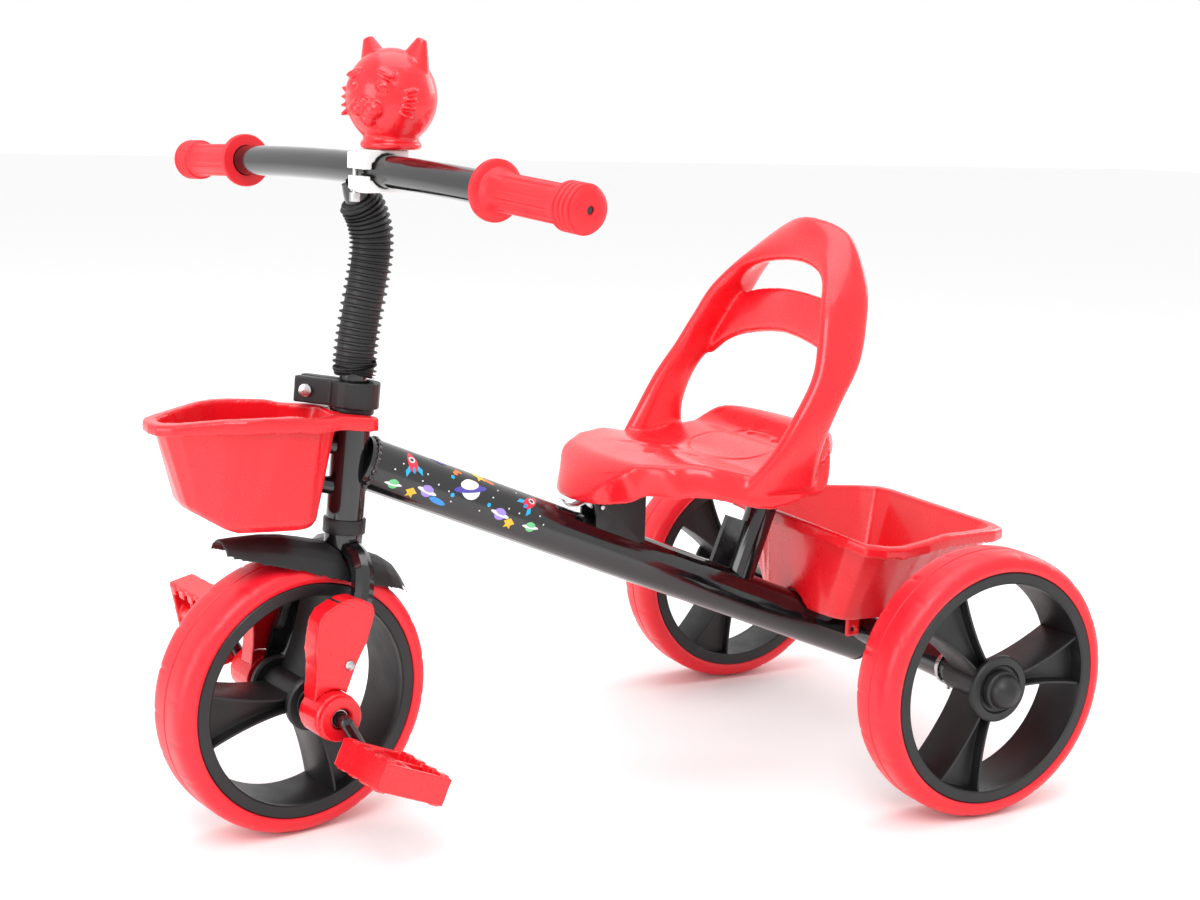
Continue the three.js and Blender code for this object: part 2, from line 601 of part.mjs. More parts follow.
function addHandlebar() {
  const bar = sweep(new BarLine(BAR_HALF), BAR_RADIUS, 14, 14);
  const stem = sweep(stemPath([onAxis(262), onAxis(300), onAxis(345)], [vec(0, 50.5, 497)]),
    STEM_RADIUS - 2 * GAP, 14, 12);
  steering.add(piece('handlebar', join(bar, stem), BLACK_PAINT));

  const along = stemPath([onAxis(CLAMP.high + 5), vec(0, 51.8, 357)], []);
  const outside = sweep(along, SLEEVE.radius, 10, 14);
  const longer = stemPath([onAxis(CLAMP.high - 12), vec(0, 51.2, 355)], [vec(0, 47, 500)]);
  const inside = sweep(longer, SLEEVE.inside, 12, 12);
  const barClear = sweep(new BarLine(60), BAR_RADIUS + GAP, 4, 16);
  steering.add(piece('stem_sleeve', cut(outside, inside, barClear), BLACK_PLASTIC));
}

function addClamp() {
  const ring = rod(onAxis(CLAMP.low), onAxis(CLAMP.high), CLAMP.radius, 20);
  const middle = onAxis((CLAMP.low + CLAMP.high) / 2);
  const heading = new THREE.Euler(-RAKE, 0, degrees(41), 'XYZ');
  const outward = vec(-1, 0, 0).applyEuler(heading);
  const beside = vec(0, 1, 0).applyEuler(heading);
  const high = CLAMP.high - CLAMP.low;
  const block = (across, from, to, offset) => box(to - from, across, high,
    middle.clone().addScaledVector(outward, (from + to) / 2).addScaledVector(beside, offset), heading);
  const lugs = block(2 * CLAMP.lugThick + CLAMP.slit, 8, CLAMP.radius + CLAMP.lug, 0);
  const slit = block(CLAMP.slit, 4, CLAMP.radius + CLAMP.lug + 4, 0);
  const bore = rod(onAxis(CLAMP.low - 2), onAxis(CLAMP.high + 2), STEERER_RADIUS + GAP, 16);
  const boltPlace = middle.clone().addScaledVector(outward, CLAMP.radius + CLAMP.lug - 10);
  const reach = CLAMP.lugThick + CLAMP.slit / 2;
  const boltHole = rod(boltPlace.clone().addScaledVector(beside, -reach - 4),
    boltPlace.clone().addScaledVector(beside, reach + 4), 3 + GAP, 14);
  steering.add(piece('stem_clamp', cut(join(ring, lugs), slit, bore, boltHole), BLACK_PAINT));
  const bolt = turnedAt([[-reach - 3.5, 0], [-reach - 3.5, 5], [-reach - GAP, 5], [-reach - GAP, 3],
    [reach + GAP, 3], [reach + GAP, 5.4], [reach + 5, 5.4], [reach + 5, 0]], beside, boltPlace, 14);
  steering.add(piece('clamp_bolt', bolt, ZINC));
}

function addGrip(side, mirror) {
  const { length, radius, flange, bulb, wall } = GRIP;
  const sides = 14;
  const inside = (BAR_RADIUS + GAP) / Math.cos(Math.PI / sides);
  const start = BAR_HALF + 2 * wall - length;
  const end = BAR_HALF + 2 * wall;
  const profile = [[start, inside], [start, flange - 1.5], [start + 2, flange], [start + 4.5, flange],
    [start + 6.5, radius + 1.5], [start + 14, radius], [end - 27, radius], [end - 23, bulb - 1.5],
    [end - 18, bulb], [end - 6, bulb], [end - 1.5, bulb - 3.5], [end, bulb - 8], [end, 2.6],
    [end - wall, 2.6], [end - wall, inside], [start, inside]];
  const direction = vec(1, 0, -BAR_SLOPE).normalize();
  const foot = vec(0, BAR_Y, BAR_HEIGHT + BAR_SLOPE * BAR_HALF);
  const shape = turnedAt(profile, direction, foot, sides);
  steering.add(piece(`grip_${side}`, mirror < 0 ? shape.mirror([1, 0, 0]) : shape, RED_GRIP));
}
addHandlebar();
addClamp();
addGrip('left', 1);
addGrip('right', -1);

// Squeaker bell: a hollow cat's head on a two-part clamp round the bar.
function addBell() {
  const barAt = new BarLine(BAR_HALF).getPoint(0.5 + BELL.along / (2 * BAR_HALF));
  const foot = vec(BELL.along, BAR_Y + 10, barAt.z + BAR_RADIUS + 3.5);
  const centre = foot.clone().add(vec(0, 0, 37));
  const ball = (rx, ry, rz, place, sides) => solid(new THREE.SphereGeometry(1, sides, sides / 2)
    .rotateX(Math.PI / 2).scale(rx, ry, rz).translate(place.x, place.y, place.z));
  const skull = ball(BELL.radius, BELL.radius - 1, BELL.radius + 3, centre, 16);
  const muzzle = ball(15, 11, 12, centre.clone().add(vec(0, -BELL.radius + 6, -7)), 10);
  const ears = [1, -1].map((side) => turnedAt([[0, 0], [0, 15], [12, 12], [22, 7], [28, 1.5], [28, 0]],
    vec(side * 0.38, 0, 1), centre.clone().add(vec(side * 17, 4, 20)), 10));
  const neck = rod(foot, foot.clone().add(vec(0, 0, 12)), BELL.neck, 16);
  const turn = (shape) => shape.translate(-centre.x, -centre.y, 0).rotate([0, 0, BELL.yaw])
    .translate(centre.x, centre.y, 0);
  const squeaker = rod(foot.clone().add(vec(0, 0, -1)), centre, 9, 12);
  const cavity = ball(BELL.radius - 4, BELL.radius - 5, BELL.radius - 1, centre, 10);
  const head = cut(turn(join(skull, muzzle, ...ears, neck)), cavity, squeaker);
  steering.add(piece('bell_head', head, RED_PLASTIC));

  const clear = rod(barAt.clone().add(vec(-40, 0, 0)), barAt.clone().add(vec(40, 0, 0)), BAR_RADIUS + 1, 16);
  const screwFoot = barAt.clone().add(vec(-6, -16.5, 0));
  const screwHole = rod(screwFoot.clone().add(vec(0, 0, -30)),
    screwFoot.clone().add(vec(0, 0, 14)), 2 + GAP, 12);
  const upper = cut(join(box(24, 34, 9, barAt.clone().add(vec(0, 1, BAR_RADIUS - 1.4))),
    box(24, 7, 12, barAt.clone().add(vec(0, -16.5, 7)))), clear, screwHole);
  const lower = cut(join(box(20, 38, 9, barAt.clone().add(vec(0, 1, -11.5))),
    box(20, 7, 10, barAt.clone().add(vec(0, -16.5, -9)))), clear, screwHole);
  steering.add(piece('bell_clamp_upper', upper, WHITE_PLASTIC));
  steering.add(piece('bell_clamp_lower', lower, WHITE_PLASTIC));
  steering.add(piece('bell_screw', turnedAt([[-23, 0], [-23, 4], [-16 - GAP, 4], [-16 - GAP, 2],
    [12, 2], [12, 0]], Z_AXIS, screwFoot, 12), WHITE_PLASTIC));
}
addBell();

// ---------------------------------------------------------------- seat and its carriers

const QUARTER_TURN = Math.PI / 2;

// How far a rounded-over edge has turned: 0 on the flat part, 1 at the very edge.
const over = (share, flat) => Math.max(0, (share - flat) / (1 - flat));

// A band of oval section between two edge lines, its rows spread round the section.
function band(columns, rows, front, rear, thick) {
  const at = (side) => (u, v) => {
    const edge = front.getPoint(u);
    const across = rear.getPoint(u).sub(edge);
    const along = front.getPoint(Math.min(1, u + 0.02)).sub(front.getPoint(Math.max(0, u - 0.02)));
    const outward = along.cross(across).normalize();
    const place = edge.addScaledVector(across, (1 - Math.cos(Math.PI * v)) / 2);
    return place.addScaledVector(outward, side * (thick / 2) * Math.sin(Math.PI * v)).toArray();
  };
  return slab(columns, rows, at(1), at(-1));
}

// A line through points on the left side and their mirror images.
const bothSides = (points) => through([
  ...points.map(([x, y, z]) => vec(x, y, z)),
  ...points.slice(0, -1).reverse().map(([x, y, z]) => vec(-x, y, z))]);

// Height of the pan along its middle.
const panTop = smooth([[SEAT.front, 268], [262, 279], [302, 281], [362, 272], [415, 280], [445, 297],
  [SEAT.rear, 302]]);

// Pan: a moulded shell whose edges roll down.
function pan() {
  const { front, rear, half, wall, drop } = SEAT;
  const width = smooth([[front, 40], [252, 64], [285, 90], [320, half - 8], [350, half], [420, half - 2],
    [rear, 72]]);
  const [flatSide, flatFront, flatRear] = [0.7, 0.86, 0.9];
  const surface = (inset) => (u, v) => {
    const across = Math.abs(2 * u - 1);
    const side = over(across, flatSide);
    const tip = over(1 - v, flatFront);
    const tail = over(v, flatRear);
    let y = front + (rear - front) * THREE.MathUtils.clamp(v, 1 - flatFront, flatRear);
    y += (front + inset - y) * Math.sin(tip * QUARTER_TURN)
      + (rear - inset - y) * Math.sin(tail * QUARTER_TURN);
    const reach = side > 0 ? 0.88 + 0.12 * Math.sin(side * QUARTER_TURN) : (0.88 * across) / flatSide;
    const x = Math.sign(u - 0.5) * reach * (width(y) - inset);
    const fall = 1 - Math.cos(Math.max(side, tip, tail) * QUARTER_TURN);
    const curve = 22 * (1 - v) ** 4 - 34 * v ** 6;
    return [x, y + curve * across ** 2, panTop(y) - inset - (drop - inset) * fall];
  };
  return slab(14, 14, surface(0), surface(wall));
}

function addSeat() {
  const hoopFront = bothSides([[106, 336, 262], [114, 358, 290], [115, 378, 322], [110, 396, 350],
    [100, 406, 374], [84, 417, 402], [54, 436, 426], [0, 446, 433]]);
  const hoopRear = bothSides([[108, 404, 262], [113, 406, 295], [114, 420, 328], [106, 442, 358],
    [94, 456, 388], [78, 466, 422], [46, 470, 458], [0, 462, 471]]);
  const hoop = band(24, 5, hoopFront, hoopRear, SEAT.hoop);
  const barLow = bothSides([[100, 432, 346], [56, 441, 366], [0, 441, 371]]);
  const barHigh = bothSides([[88, 446, 390], [48, 449, 406], [0, 446, 409]]);
  const crossbar = band(8, 4, barLow, barHigh, 11);

  const bosses = [...SEAT_SCREWS, [0, BRACKET_Y]].map(([x, y]) =>
    rod(vec(x, y, SEAT.mountZ + GAP), vec(x, y, panTop(y) - 2), 7, 14));
  const holes = [...SEAT_SCREWS, [0, BRACKET_Y]].map(([x, y]) =>
    rod(vec(x, y, SEAT.mountZ - 1), vec(x, y, SEAT.mountZ + 14), 2.5 + GAP, 12));
  const notch = box(30, 16, 14, vec(0, SEAT.front + 4, 245));
  trike.add(piece('seat', cut(join(pan(), hoop, crossbar, ...bosses), ...holes, notch), RED_PLASTIC));
}

// Channel that stands on the beam under the seat's front, with its bolt, clip and screws.
function addSeatCarriers() {
  const beamTop = beamZ(BRACKET_Y) + BEAM.radius / Math.cos(BEAM_TILT);
  const top = SEAT.mountZ;
  const high = top - beamTop + 14;
  const channel = cut(box(30, 46, high, vec(0, BRACKET_Y, top - high / 2)),
    box(24, 60, high, vec(0, BRACKET_Y, top - high / 2 - 3)),
    rod(beamAt(BRACKET_Y - 50), beamAt(BRACKET_Y + 50), BEAM.radius + GAP, 28));
  const foot = cut(box(30, 20, 9, beamAt(BRACKET_Y, 0, BEAM.radius + 2.5), new THREE.Euler(BEAM_TILT, 0, 0)),
    rod(beamAt(BRACKET_Y - 50), beamAt(BRACKET_Y + 50), BEAM.radius + GAP, 28));
  const pinY = BRACKET_Y - 18;
  const pinZ = top - 8;
  const pinHole = rod(vec(-20, pinY, pinZ), vec(20, pinY, pinZ), 2 + GAP, 12);
  const boltHole = rod(beamAt(BRACKET_Y, 0, 10), beamAt(BRACKET_Y, 0, 30), 3 + GAP, 12);
  const screwHole = rod(vec(0, BRACKET_Y, top - 8), vec(0, BRACKET_Y, top + 4), 2.5 + GAP, 12);
  const bracket = cut(join(channel, foot), pinHole, boltHole, screwHole);
  trike.add(piece('seat_bracket', bracket, BLACK_PAINT));

  const boltSeat = (BEAM.radius + 7) / Math.cos(BEAM_TILT) + 2.2;
  trike.add(piece('bracket_bolt', turnedAt([[-14, 0], [-14, 3], [GAP, 3], [GAP, 5], [4, 5], [4, 0]],
    Z_AXIS, beamAt(BRACKET_Y, 0, boltSeat), 12), ZINC));

  // Sprung clip: an eye on the pin and a strip that curls up under the seat's front lip.
  const curl = [[0, 3], [-10, 2], [-18, -1], [-25, 0], [-30, 5]];
  const side = [...curl, ...curl.map(([y, z]) => [y, z + 1.6]).reverse()];
  const strip = solid(sideways(prism(side, 12).translate(0, 0, -6)));
  const eye = rod(vec(-6, 0, 0), vec(6, 0, 0), 5, 14);
  const eyeHole = rod(vec(-7, 0, 0), vec(7, 0, 0), 2 + GAP, 12);
  const clip = pivot(trike, vec(0, pinY, pinZ));
  clip.name = 'seat_clip_pivot';
  clip.add(piece('seat_clip', cut(join(strip, eye), eyeHole), ZINC));
  trike.add(piece('clip_pin', rod(vec(-17, pinY, pinZ), vec(17, pinY, pinZ), 2, 12), ZINC));

  const plateLow = top - POST.plate;
  const screw = [[-3.4, 0], [-3.4, 3], [-2, 4.6], [-GAP, 4.6], [-GAP, 2.5], [14, 2.5], [14, 0]];
  for (const [name, x, y, low] of [['left', ...SEAT_SCREWS[1], plateLow],
    ['right', ...SEAT_SCREWS[0], plateLow], ['front', 0, BRACKET_Y, top - 3]]) {
    trike.add(piece(`seat_screw_${name}`, turnedAt(screw, Z_AXIS, vec(x, y, low), 10), ZINC));
  }
}
addSeat();
addSeatCarriers();

// ---------------------------------------------------------------- baskets

// A closed solid through stacked rings of points, bottom ring first.
function loft(rings) {
  const count = rings[0].length;
  const middle = (ring) => [0, 1, 2].map((k) => ring.reduce((sum, point) => sum + point[k], 0) / count);
  const corners = [...rings.flat(), middle(rings[0]), middle(rings.at(-1))];
  const [floor, lid] = [corners.length - 2, corners.length - 1];
  const last = (rings.length - 1) * count;
  const faces = [];
  for (let i = 0; i < count; i++) {
    const next = (i + 1) % count;
    faces.push(floor, next, i, lid, last + i, last + next);
    for (let row = 0; row < last; row += count) {
      faces.push(row + i, row + next, row + next + count, row + i, row + next + count, row + i + count);
    }
  }
  const geometry = new THREE.BufferGeometry();
  geometry.setAttribute('position', new THREE.Float32BufferAttribute(corners.flat(), 3));
  geometry.setIndex(faces);
  return solid(geometry);
}

// A closed outline with rounded corners, from the [x, y, rounding] corners of its left half.
function outline(half, inset = 0, steps = 2) {
  const ys = half.map(([, y]) => y);
  const centre = (Math.min(...ys) + Math.max(...ys)) / 2;
  const reach = (Math.max(...ys) - Math.min(...ys)) / 2;
  const shrunk = half.map(([x, y, round]) =>
    [x - inset, centre + (y - centre) * (1 - inset / reach), round]);
  const corners = [...shrunk, ...shrunk.map(([x, y, round]) => [-x, y, round]).reverse()];
  return corners.flatMap(([x, y, round], k) => {
    const toward = ([px, py]) => {
      const share = round / Math.hypot(px - x, py - y);
      return [x + (px - x) * share, y + (py - y) * share];
    };
    const before = toward(corners.at(k - 1));
    const after = toward(corners[(k + 1) % corners.length]);
    return [...Array(steps + 1).keys()].map((i) => {
      const t = i / steps;
      return [0, 1].map((n) => before[n] * (1 - t) ** 2 + 2 * [x, y][n] * t * (1 - t) + after[n] * t * t);
    });
  });
}

const level = (points, z) => points.map(([x, y]) => [x, y, z]);

// An open tub with a rolled rim: the rim's and the floor's half outlines, and its two levels.
function tub(rimHalf, floorHalf, low, high) {
  const wall = (inset) => [
    level(outline(floorHalf, inset + 3), low + inset),
    level(outline(floorHalf, inset), low + inset + 5),
    level(outline(rimHalf, inset + RIM.lip), high - RIM.wall)];
  const top = (inset) => level(outline(rimHalf, inset + RIM.lip), high + 1);
  const body = loft([...wall(0), level(outline(rimHalf, RIM.lip), high)]);
  const inside = loft([...wall(BASKET_WALL), top(BASKET_WALL)]);
  const rim = loft([level(outline(rimHalf), high - RIM.band), level(outline(rimHalf), high - 2),
    level(outline(rimHalf, 1.5), high)]);
  const under = loft([level(outline(rimHalf, RIM.wall), high - RIM.band - 1),
    level(outline(rimHalf, RIM.wall), high - RIM.wall)]);
  return { shell: join(cut(rim, under), body), inside };
}

// Shifts a tub's rim and floor in height along its length.
const wave = (shape, low, high, rimRise, floorRise) => shape.warp((point) => {
  const share = THREE.MathUtils.clamp((point[2] - low) / (high - low), 0, 1);
  point[2] += rimRise(point[1]) * share + floorRise(point[1]) * (1 - share);
});

function addFrontBasket() {
  const { low, high } = FRONT_BASKET;
  const rim = [[22, -108, 14], [53, -47, 14], [44, 8, 12], [30, 37, 5]];
  const floor = [[22, -86, 12], [46, -54, 10], [42, 4, 8], [30, BACK_WALL.lowY, 4]];
  const { shell, inside } = tub(rim, floor, low, high);
  const hook = [[18, 28], [33, 28], [30, 56], [26, 62], [19, 62]]; // reaches back beside the head tube
  const arm = solid(prism(hook, RIM.band).translate(0, 0, high - RIM.band));
  const arms = [arm, arm.mirror([1, 0, 0])];
  const neck = rod(onAxis(low - 10), onAxis(high + 30), HEAD_TUBE.radius + 3, 24);
  const holes = BASKET_SCREWS.map((z) => rod(backWall(z, -12), backWall(z, 6), 2.5 + GAP, 12));
  const whole = cut(join(shell, ...arms), inside, neck, ...holes);
  const rise = smooth([[-108, -2], [-50, 4], [-14, 4], [8, 0], [30, 0], [62, -4]]);
  const keel = smooth([[-90, 18], [-50, 2], [-20, 0]]);
  trike.add(piece('front_basket', wave(whole, low, high, rise, keel), RED_PLASTIC));

  for (const [name, z] of [['lower', BASKET_SCREWS[0]], ['upper', BASKET_SCREWS[1]]]) {
    const head = BASKET_WALL + 1.8;
    trike.add(piece(`front_basket_screw_${name}`, turnedAt([[-head - 3, 0], [-head - 3, 3.4],
      [-head - 1.6, 4.8], [-head, 4.8], [-head, 2.5], [8, 2.5], [8, 0]],
    backWall(z, 1).sub(backWall(z)), backWall(z), 10), ZINC));
  }
}

function addRearBasket() {
  const { aboveBeam, deep, boltY } = REAR_BASKET;
  const low = beamZ(boltY) + aboveBeam;
  const high = low + deep;
  const aft = (points) => points.map(([x, behindAxle, round]) => [x, WHEELBASE + behindAxle, round]);
  const rim = aft([[30, -74, 20], [112, -60, 22], [116, 4, 24], [96, 106, 20]]);
  const floor = aft([[40, -54, 10], [66, -46, 10], [70, 4, 12], [64, 70, 12]]);
  const { shell, inside } = tub(rim, floor, low, high);
  const tabs = [50, -50].map((x) => cut(box(4, 14, 26, vec(x, boltY, low - 6)),
    rod(vec(x - 4, boltY, low - 13), vec(x + 4, boltY, low - 13), 2.6, 12)));
  const channel = (extra) => rod(beamAt(BEAM.rearY - 120), beamAt(BEAM.rearY + 40), BEAM.radius + extra, 28);
  const bolt = rod(beamAt(boltY, 0, 10), beamAt(boltY, 0, 60), 3 + GAP, 12);
  const whole = cut(join(shell, ...tabs), cut(inside, channel(BASKET_WALL + 1)), channel(1), bolt);
  const rise = smooth([[-74, 8], [-46, -1], [-24, -3], [29, 3], [106, 0]]
    .map(([behindAxle, height]) => [WHEELBASE + behindAxle, height]));
  trike.add(piece('rear_basket', wave(whole, low + 20, high, rise, () => 0), RED_PLASTIC));
  trike.add(piece('rear_basket_bolt', turnedAt([[-9, 0], [-9, 3], [GAP, 3], [GAP, 5.5], [4, 5], [4, 0]],
    Z_AXIS, beamAt(boltY, 0, (BEAM.radius + BASKET_WALL + 1) / Math.cos(BEAM_TILT) + 2.4), 12), ZINC));
}
addFrontBasket();
addRearBasket();

// ---------------------------------------------------------------- place the tricycle

trike.updateMatrixWorld(true);
const bounds = new THREE.Box3().setFromObject(trike, true);
const middle = bounds.getCenter(new THREE.Vector3());
trike.position.set(-middle.x, -middle.y, -bounds.min.z);

export default trike;
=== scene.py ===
"""Looks of the children's tricycle: glossy moulded plastic, soft tyres, black paint and zinc."""

import json
import math

import bmesh
import bpy
from mathutils import Matrix, Vector


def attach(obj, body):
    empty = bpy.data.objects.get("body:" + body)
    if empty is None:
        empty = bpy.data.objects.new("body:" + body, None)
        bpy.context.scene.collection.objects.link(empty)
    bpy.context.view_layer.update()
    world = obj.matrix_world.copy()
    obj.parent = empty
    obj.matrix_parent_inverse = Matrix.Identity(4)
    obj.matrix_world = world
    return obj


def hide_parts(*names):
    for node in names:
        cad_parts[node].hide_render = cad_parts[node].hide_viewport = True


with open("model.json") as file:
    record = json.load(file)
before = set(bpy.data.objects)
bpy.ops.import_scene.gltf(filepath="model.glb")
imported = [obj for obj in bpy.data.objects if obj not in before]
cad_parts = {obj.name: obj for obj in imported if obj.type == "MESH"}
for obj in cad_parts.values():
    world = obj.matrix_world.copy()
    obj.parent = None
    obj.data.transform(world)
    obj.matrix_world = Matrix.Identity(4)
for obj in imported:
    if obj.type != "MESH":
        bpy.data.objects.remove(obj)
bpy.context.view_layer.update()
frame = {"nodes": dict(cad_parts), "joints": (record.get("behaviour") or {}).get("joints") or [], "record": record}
MM = 0.001


# ---------------------------------------------------------------- camera, floor and light

RIGHT = Vector((0.45636, 0.88932, 0.02918))
UP = Vector((-0.18212, 0.06125, 0.98137))
BACK = Vector((0.87096, -0.45317, 0.18992))


def add_camera():
    bpy.ops.object.camera_add(location=(1.2723, -0.6579, 0.5580))
    camera = bpy.context.object
    camera.rotation_mode = "QUATERNION"
    camera.rotation_quaternion = Matrix((RIGHT, UP, BACK)).transposed().to_quaternion()
    camera.data.lens = 53.27
    camera.data.sensor_width = 36
    bpy.context.scene.camera = camera


def add_area(name, place, size, power, target=(0, 0, 0.25)):
    bpy.ops.object.light_add(type="AREA", location=place)
    light = bpy.context.object
    light.name = name
    light.data.shape = "RECTANGLE"
    light.data.size, light.data.size_y = size
    light.data.energy = power
    light.rotation_mode = "QUATERNION"
    light.rotation_quaternion = (Vector(target) - Vector(place)).to_track_quat("-Z", "Y")


def add_studio():
    add_area("key_light", (1.3, -1.0, 2.0), (1.2, 1.2), 26)
    add_area("top_light", (-0.2, 0.1, 2.3), (1.8, 1.8), 20)
    add_area("side_light", (0.4, -2.3, 0.8), (1.0, 1.3), 14)
    add_area("rear_light", (-0.6, 2.2, 1.2), (1.2, 1.0), 12)
    world = bpy.data.worlds.new("studio")
    bpy.context.scene.world = world
    world.use_nodes = True
    background = world.node_tree.nodes["Background"]
    background.inputs["Color"].default_value = (1, 1, 1, 1)
    background.inputs["Strength"].default_value = 1.0
    bpy.context.scene.view_settings.view_transform = "Standard"


# ---------------------------------------------------------------- materials


class Value:
    """One socket's number, with arithmetic that adds Math nodes."""

    def __init__(self, finish, socket):
        self.finish, self.socket = finish, socket

    def math(self, operation, *others):
        return self.finish.node("Math", {k: v for k, v in enumerate((self, *others))}, operation=operation)

    def __add__(self, other):
        return self.math("ADD", other)

    def __sub__(self, other):
        return self.math("SUBTRACT", other)

    def __mul__(self, other):
        return self.math("MULTIPLY", other)

    def __rsub__(self, other):
        return (self * -1) + other

    __radd__ = __add__
    __rmul__ = __mul__

    def out(self, name):
        return Value(self.finish, self.socket.node.outputs[name])


class Finish:
    """A material built round one Principled shader."""

    def __init__(self, name, color, roughness, metallic=0.0, coat=0.0):
        self.material = bpy.data.materials.new(name)
        self.material.use_nodes = True
        self.material.diffuse_color = (*color, 1)
        self.nodes = self.material.node_tree.nodes
        self.links = self.material.node_tree.links
        self.shader = self.nodes["Principled BSDF"]
        self.color = color
        self.put(self.shader, "Base Color", (*color, 1))
        self.put(self.shader, "Roughness", roughness)
        self.put(self.shader, "Metallic", metallic)
        self.put(self.shader, "Coat Weight", coat)
        self.put(self.shader, "Coat Roughness", 0.06)

    def put(self, node, socket, value):
        if isinstance(value, Value):
            self.links.new(value.socket, node.inputs[socket])
        else:
            node.inputs[socket].default_value = value

    def node(self, kind, sockets=None, **settings):
        made = self.nodes.new(f"ShaderNode{kind}")
        for name, value in settings.items():
            setattr(made, name, value)
        for socket, value in (sockets or {}).items():
            self.put(made, socket, value)
        return Value(self, made.outputs[0])

    def place(self):
        return self.node("TexCoord").out("Object")

    def noise(self, scale, detail=3, roughness=0.5, at=None):
        return self.node("TexNoise", {"Vector": at or self.place(), "Scale": scale, "Detail": detail,
                                      "Roughness": roughness}).out("Fac")

    def span(self, value, low, high, to_low=0.0, to_high=1.0):
        return self.node("MapRange", {"Value": value, "From Min": low, "From Max": high,
                                      "To Min": to_low, "To Max": to_high})

    def blend(self, share, first, second):
        mixed = self.node("Mix", {0: share, 6: (*first, 1), 7: (*second, 1)}, data_type="RGBA")
        return Value(self, mixed.socket.node.outputs[2])

    def bump(self, height, distance, strength=1.0):
        bumped = self.node("Bump", {"Height": height, "Distance": distance, "Strength": strength})
        self.put(self.shader, "Normal", bumped)


def moulded_plastic(name, color, dark, gloss, orange_peel, coat=0.0):
    """Injection-moulded plastic: faint colour drift, smudged gloss and a very shallow orange peel."""
    made = Finish(name, color, gloss, coat=coat)
    drift = made.span(made.noise(11, 4), 0.35, 0.65)
    made.put(made.shader, "Base Color", made.blend(drift, dark, color))
    smudge = made.span(made.noise(34, 5, 0.6), 0.3, 0.7, gloss * 0.85, gloss * 1.25)
    scuff = made.span(made.noise(420, 2), 0.62, 0.72, 0, 0.08)
    made.put(made.shader, "Roughness", smudge + scuff)
    made.bump(made.noise(240, 2) * 0.7 + made.noise(1500, 1) * 0.3, orange_peel)
    return made


def gloss_paint(name, color, gloss):
    """Sprayed gloss paint on steel tube, with dust nibs and faint handling marks."""
    made = Finish(name, color, gloss, coat=0.6)
    marks = made.span(made.noise(60, 6, 0.65), 0.45, 0.75, gloss * 0.8, gloss * 2.2)
    made.put(made.shader, "Roughness", marks)
    paler = tuple(c * 2.2 for c in color)
    made.put(made.shader, "Base Color", made.blend(made.span(made.noise(25, 4), 0.4, 0.8), color, paler))
    made.bump(made.noise(500, 2), 0.00004)
    return made


def plated_steel(name, color, roughness):
    """Zinc-plated steel: fine drawn scratches and cloudy patches."""
    made = Finish(name, color, roughness, metallic=1.0)
    cloud = made.span(made.noise(160, 5), 0.3, 0.7, roughness * 0.8, roughness * 1.6)
    made.put(made.shader, "Roughness", cloud)
    dull = tuple(c * 0.75 for c in color)
    made.put(made.shader, "Base Color", made.blend(made.span(made.noise(90, 4), 0.4, 0.7), color, dull))
    made.bump(made.noise(2500, 2), 0.00003)
    return made


RED = moulded_plastic("red_gloss_plastic", (0.79, 0.007, 0.016), (0.72, 0.005, 0.012), 0.27, 0.00006, 0.25)
TYRE_RED = moulded_plastic("red_tyre_plastic", (0.82, 0.010, 0.024), (0.75, 0.007, 0.018), 0.36, 0.0001)
GRIP_RED = moulded_plastic("red_grip_rubber", (0.74, 0.010, 0.020), (0.66, 0.007, 0.014), 0.44, 0.00012)
BLACK = moulded_plastic("black_wheel_plastic", (0.009, 0.009, 0.010), (0.006, 0.006, 0.007), 0.42, 0.0001)
SLEEVE_BLACK = moulded_plastic("black_sleeve_plastic", (0.012, 0.012, 0.013), (0.008, 0.008, 0.009), 0.48, 0.0001)
PAINT = gloss_paint("black_gloss_paint", (0.004, 0.004, 0.005), 0.13)
ZINC = plated_steel("zinc_plate", (0.62, 0.62, 0.63), 0.24)
WHITE = moulded_plastic("white_plastic", (0.86, 0.86, 0.84), (0.80, 0.80, 0.78), 0.35, 0.00008)


# ---------------------------------------------------------------- workshop tools


def alone(piece):
    """Only this piece is selected and active."""
    bpy.ops.object.select_all(action="DESELECT")
    piece.select_set(True)
    bpy.context.view_layer.objects.active = piece


def modify(piece, kind, **settings):
    alone(piece)
    modifier = piece.modifiers.new(kind.lower(), kind)
    for name, value in settings.items():
        setattr(modifier, name, value)
    bpy.ops.object.modifier_apply(modifier=modifier.name)


def shade(piece, angle=35):
    alone(piece)
    bpy.ops.object.shade_smooth_by_angle(angle=math.radians(angle))


def stand_in(piece, finish, body, *nodes):
    """The piece gets its finish, rides on its body and stands for these nodes."""
    piece.data.materials.clear()
    piece.data.materials.append(finish.material)
    if nodes:
        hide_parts(*nodes)
    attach(piece, body)
    return piece


def copied(node, name):
    """A copy of a node's mesh with its loose triangles joined up."""
    piece = bpy.data.objects.new(name, frame["nodes"][node].data.copy())
    bpy.context.scene.collection.objects.link(piece)
    alone(piece)
    bpy.ops.object.mode_set(mode="EDIT")
    bpy.ops.mesh.select_all(action="SELECT")
    bpy.ops.mesh.remove_doubles(threshold=0.00001)
    bpy.ops.mesh.customdata_custom_splitnormals_clear()
    bpy.ops.object.mode_set(mode="OBJECT")
    return piece


BODY_OF = {node: body for body, nodes in frame["record"]["behaviour"]["bodies"].items() for node in nodes}


def machined(node, finish, bevel=0.0004, angle=34):
    """A metal or hard part: its own shape with broken edges."""
    piece = copied(node, f"{node}_finished")
    if bevel:
        modify(piece, "BEVEL", width=bevel, segments=2, limit_method="ANGLE", angle_limit=math.radians(40),
               use_clamp_overlap=True)
    shade(piece, angle)
    return stand_in(piece, finish, BODY_OF[node], node)


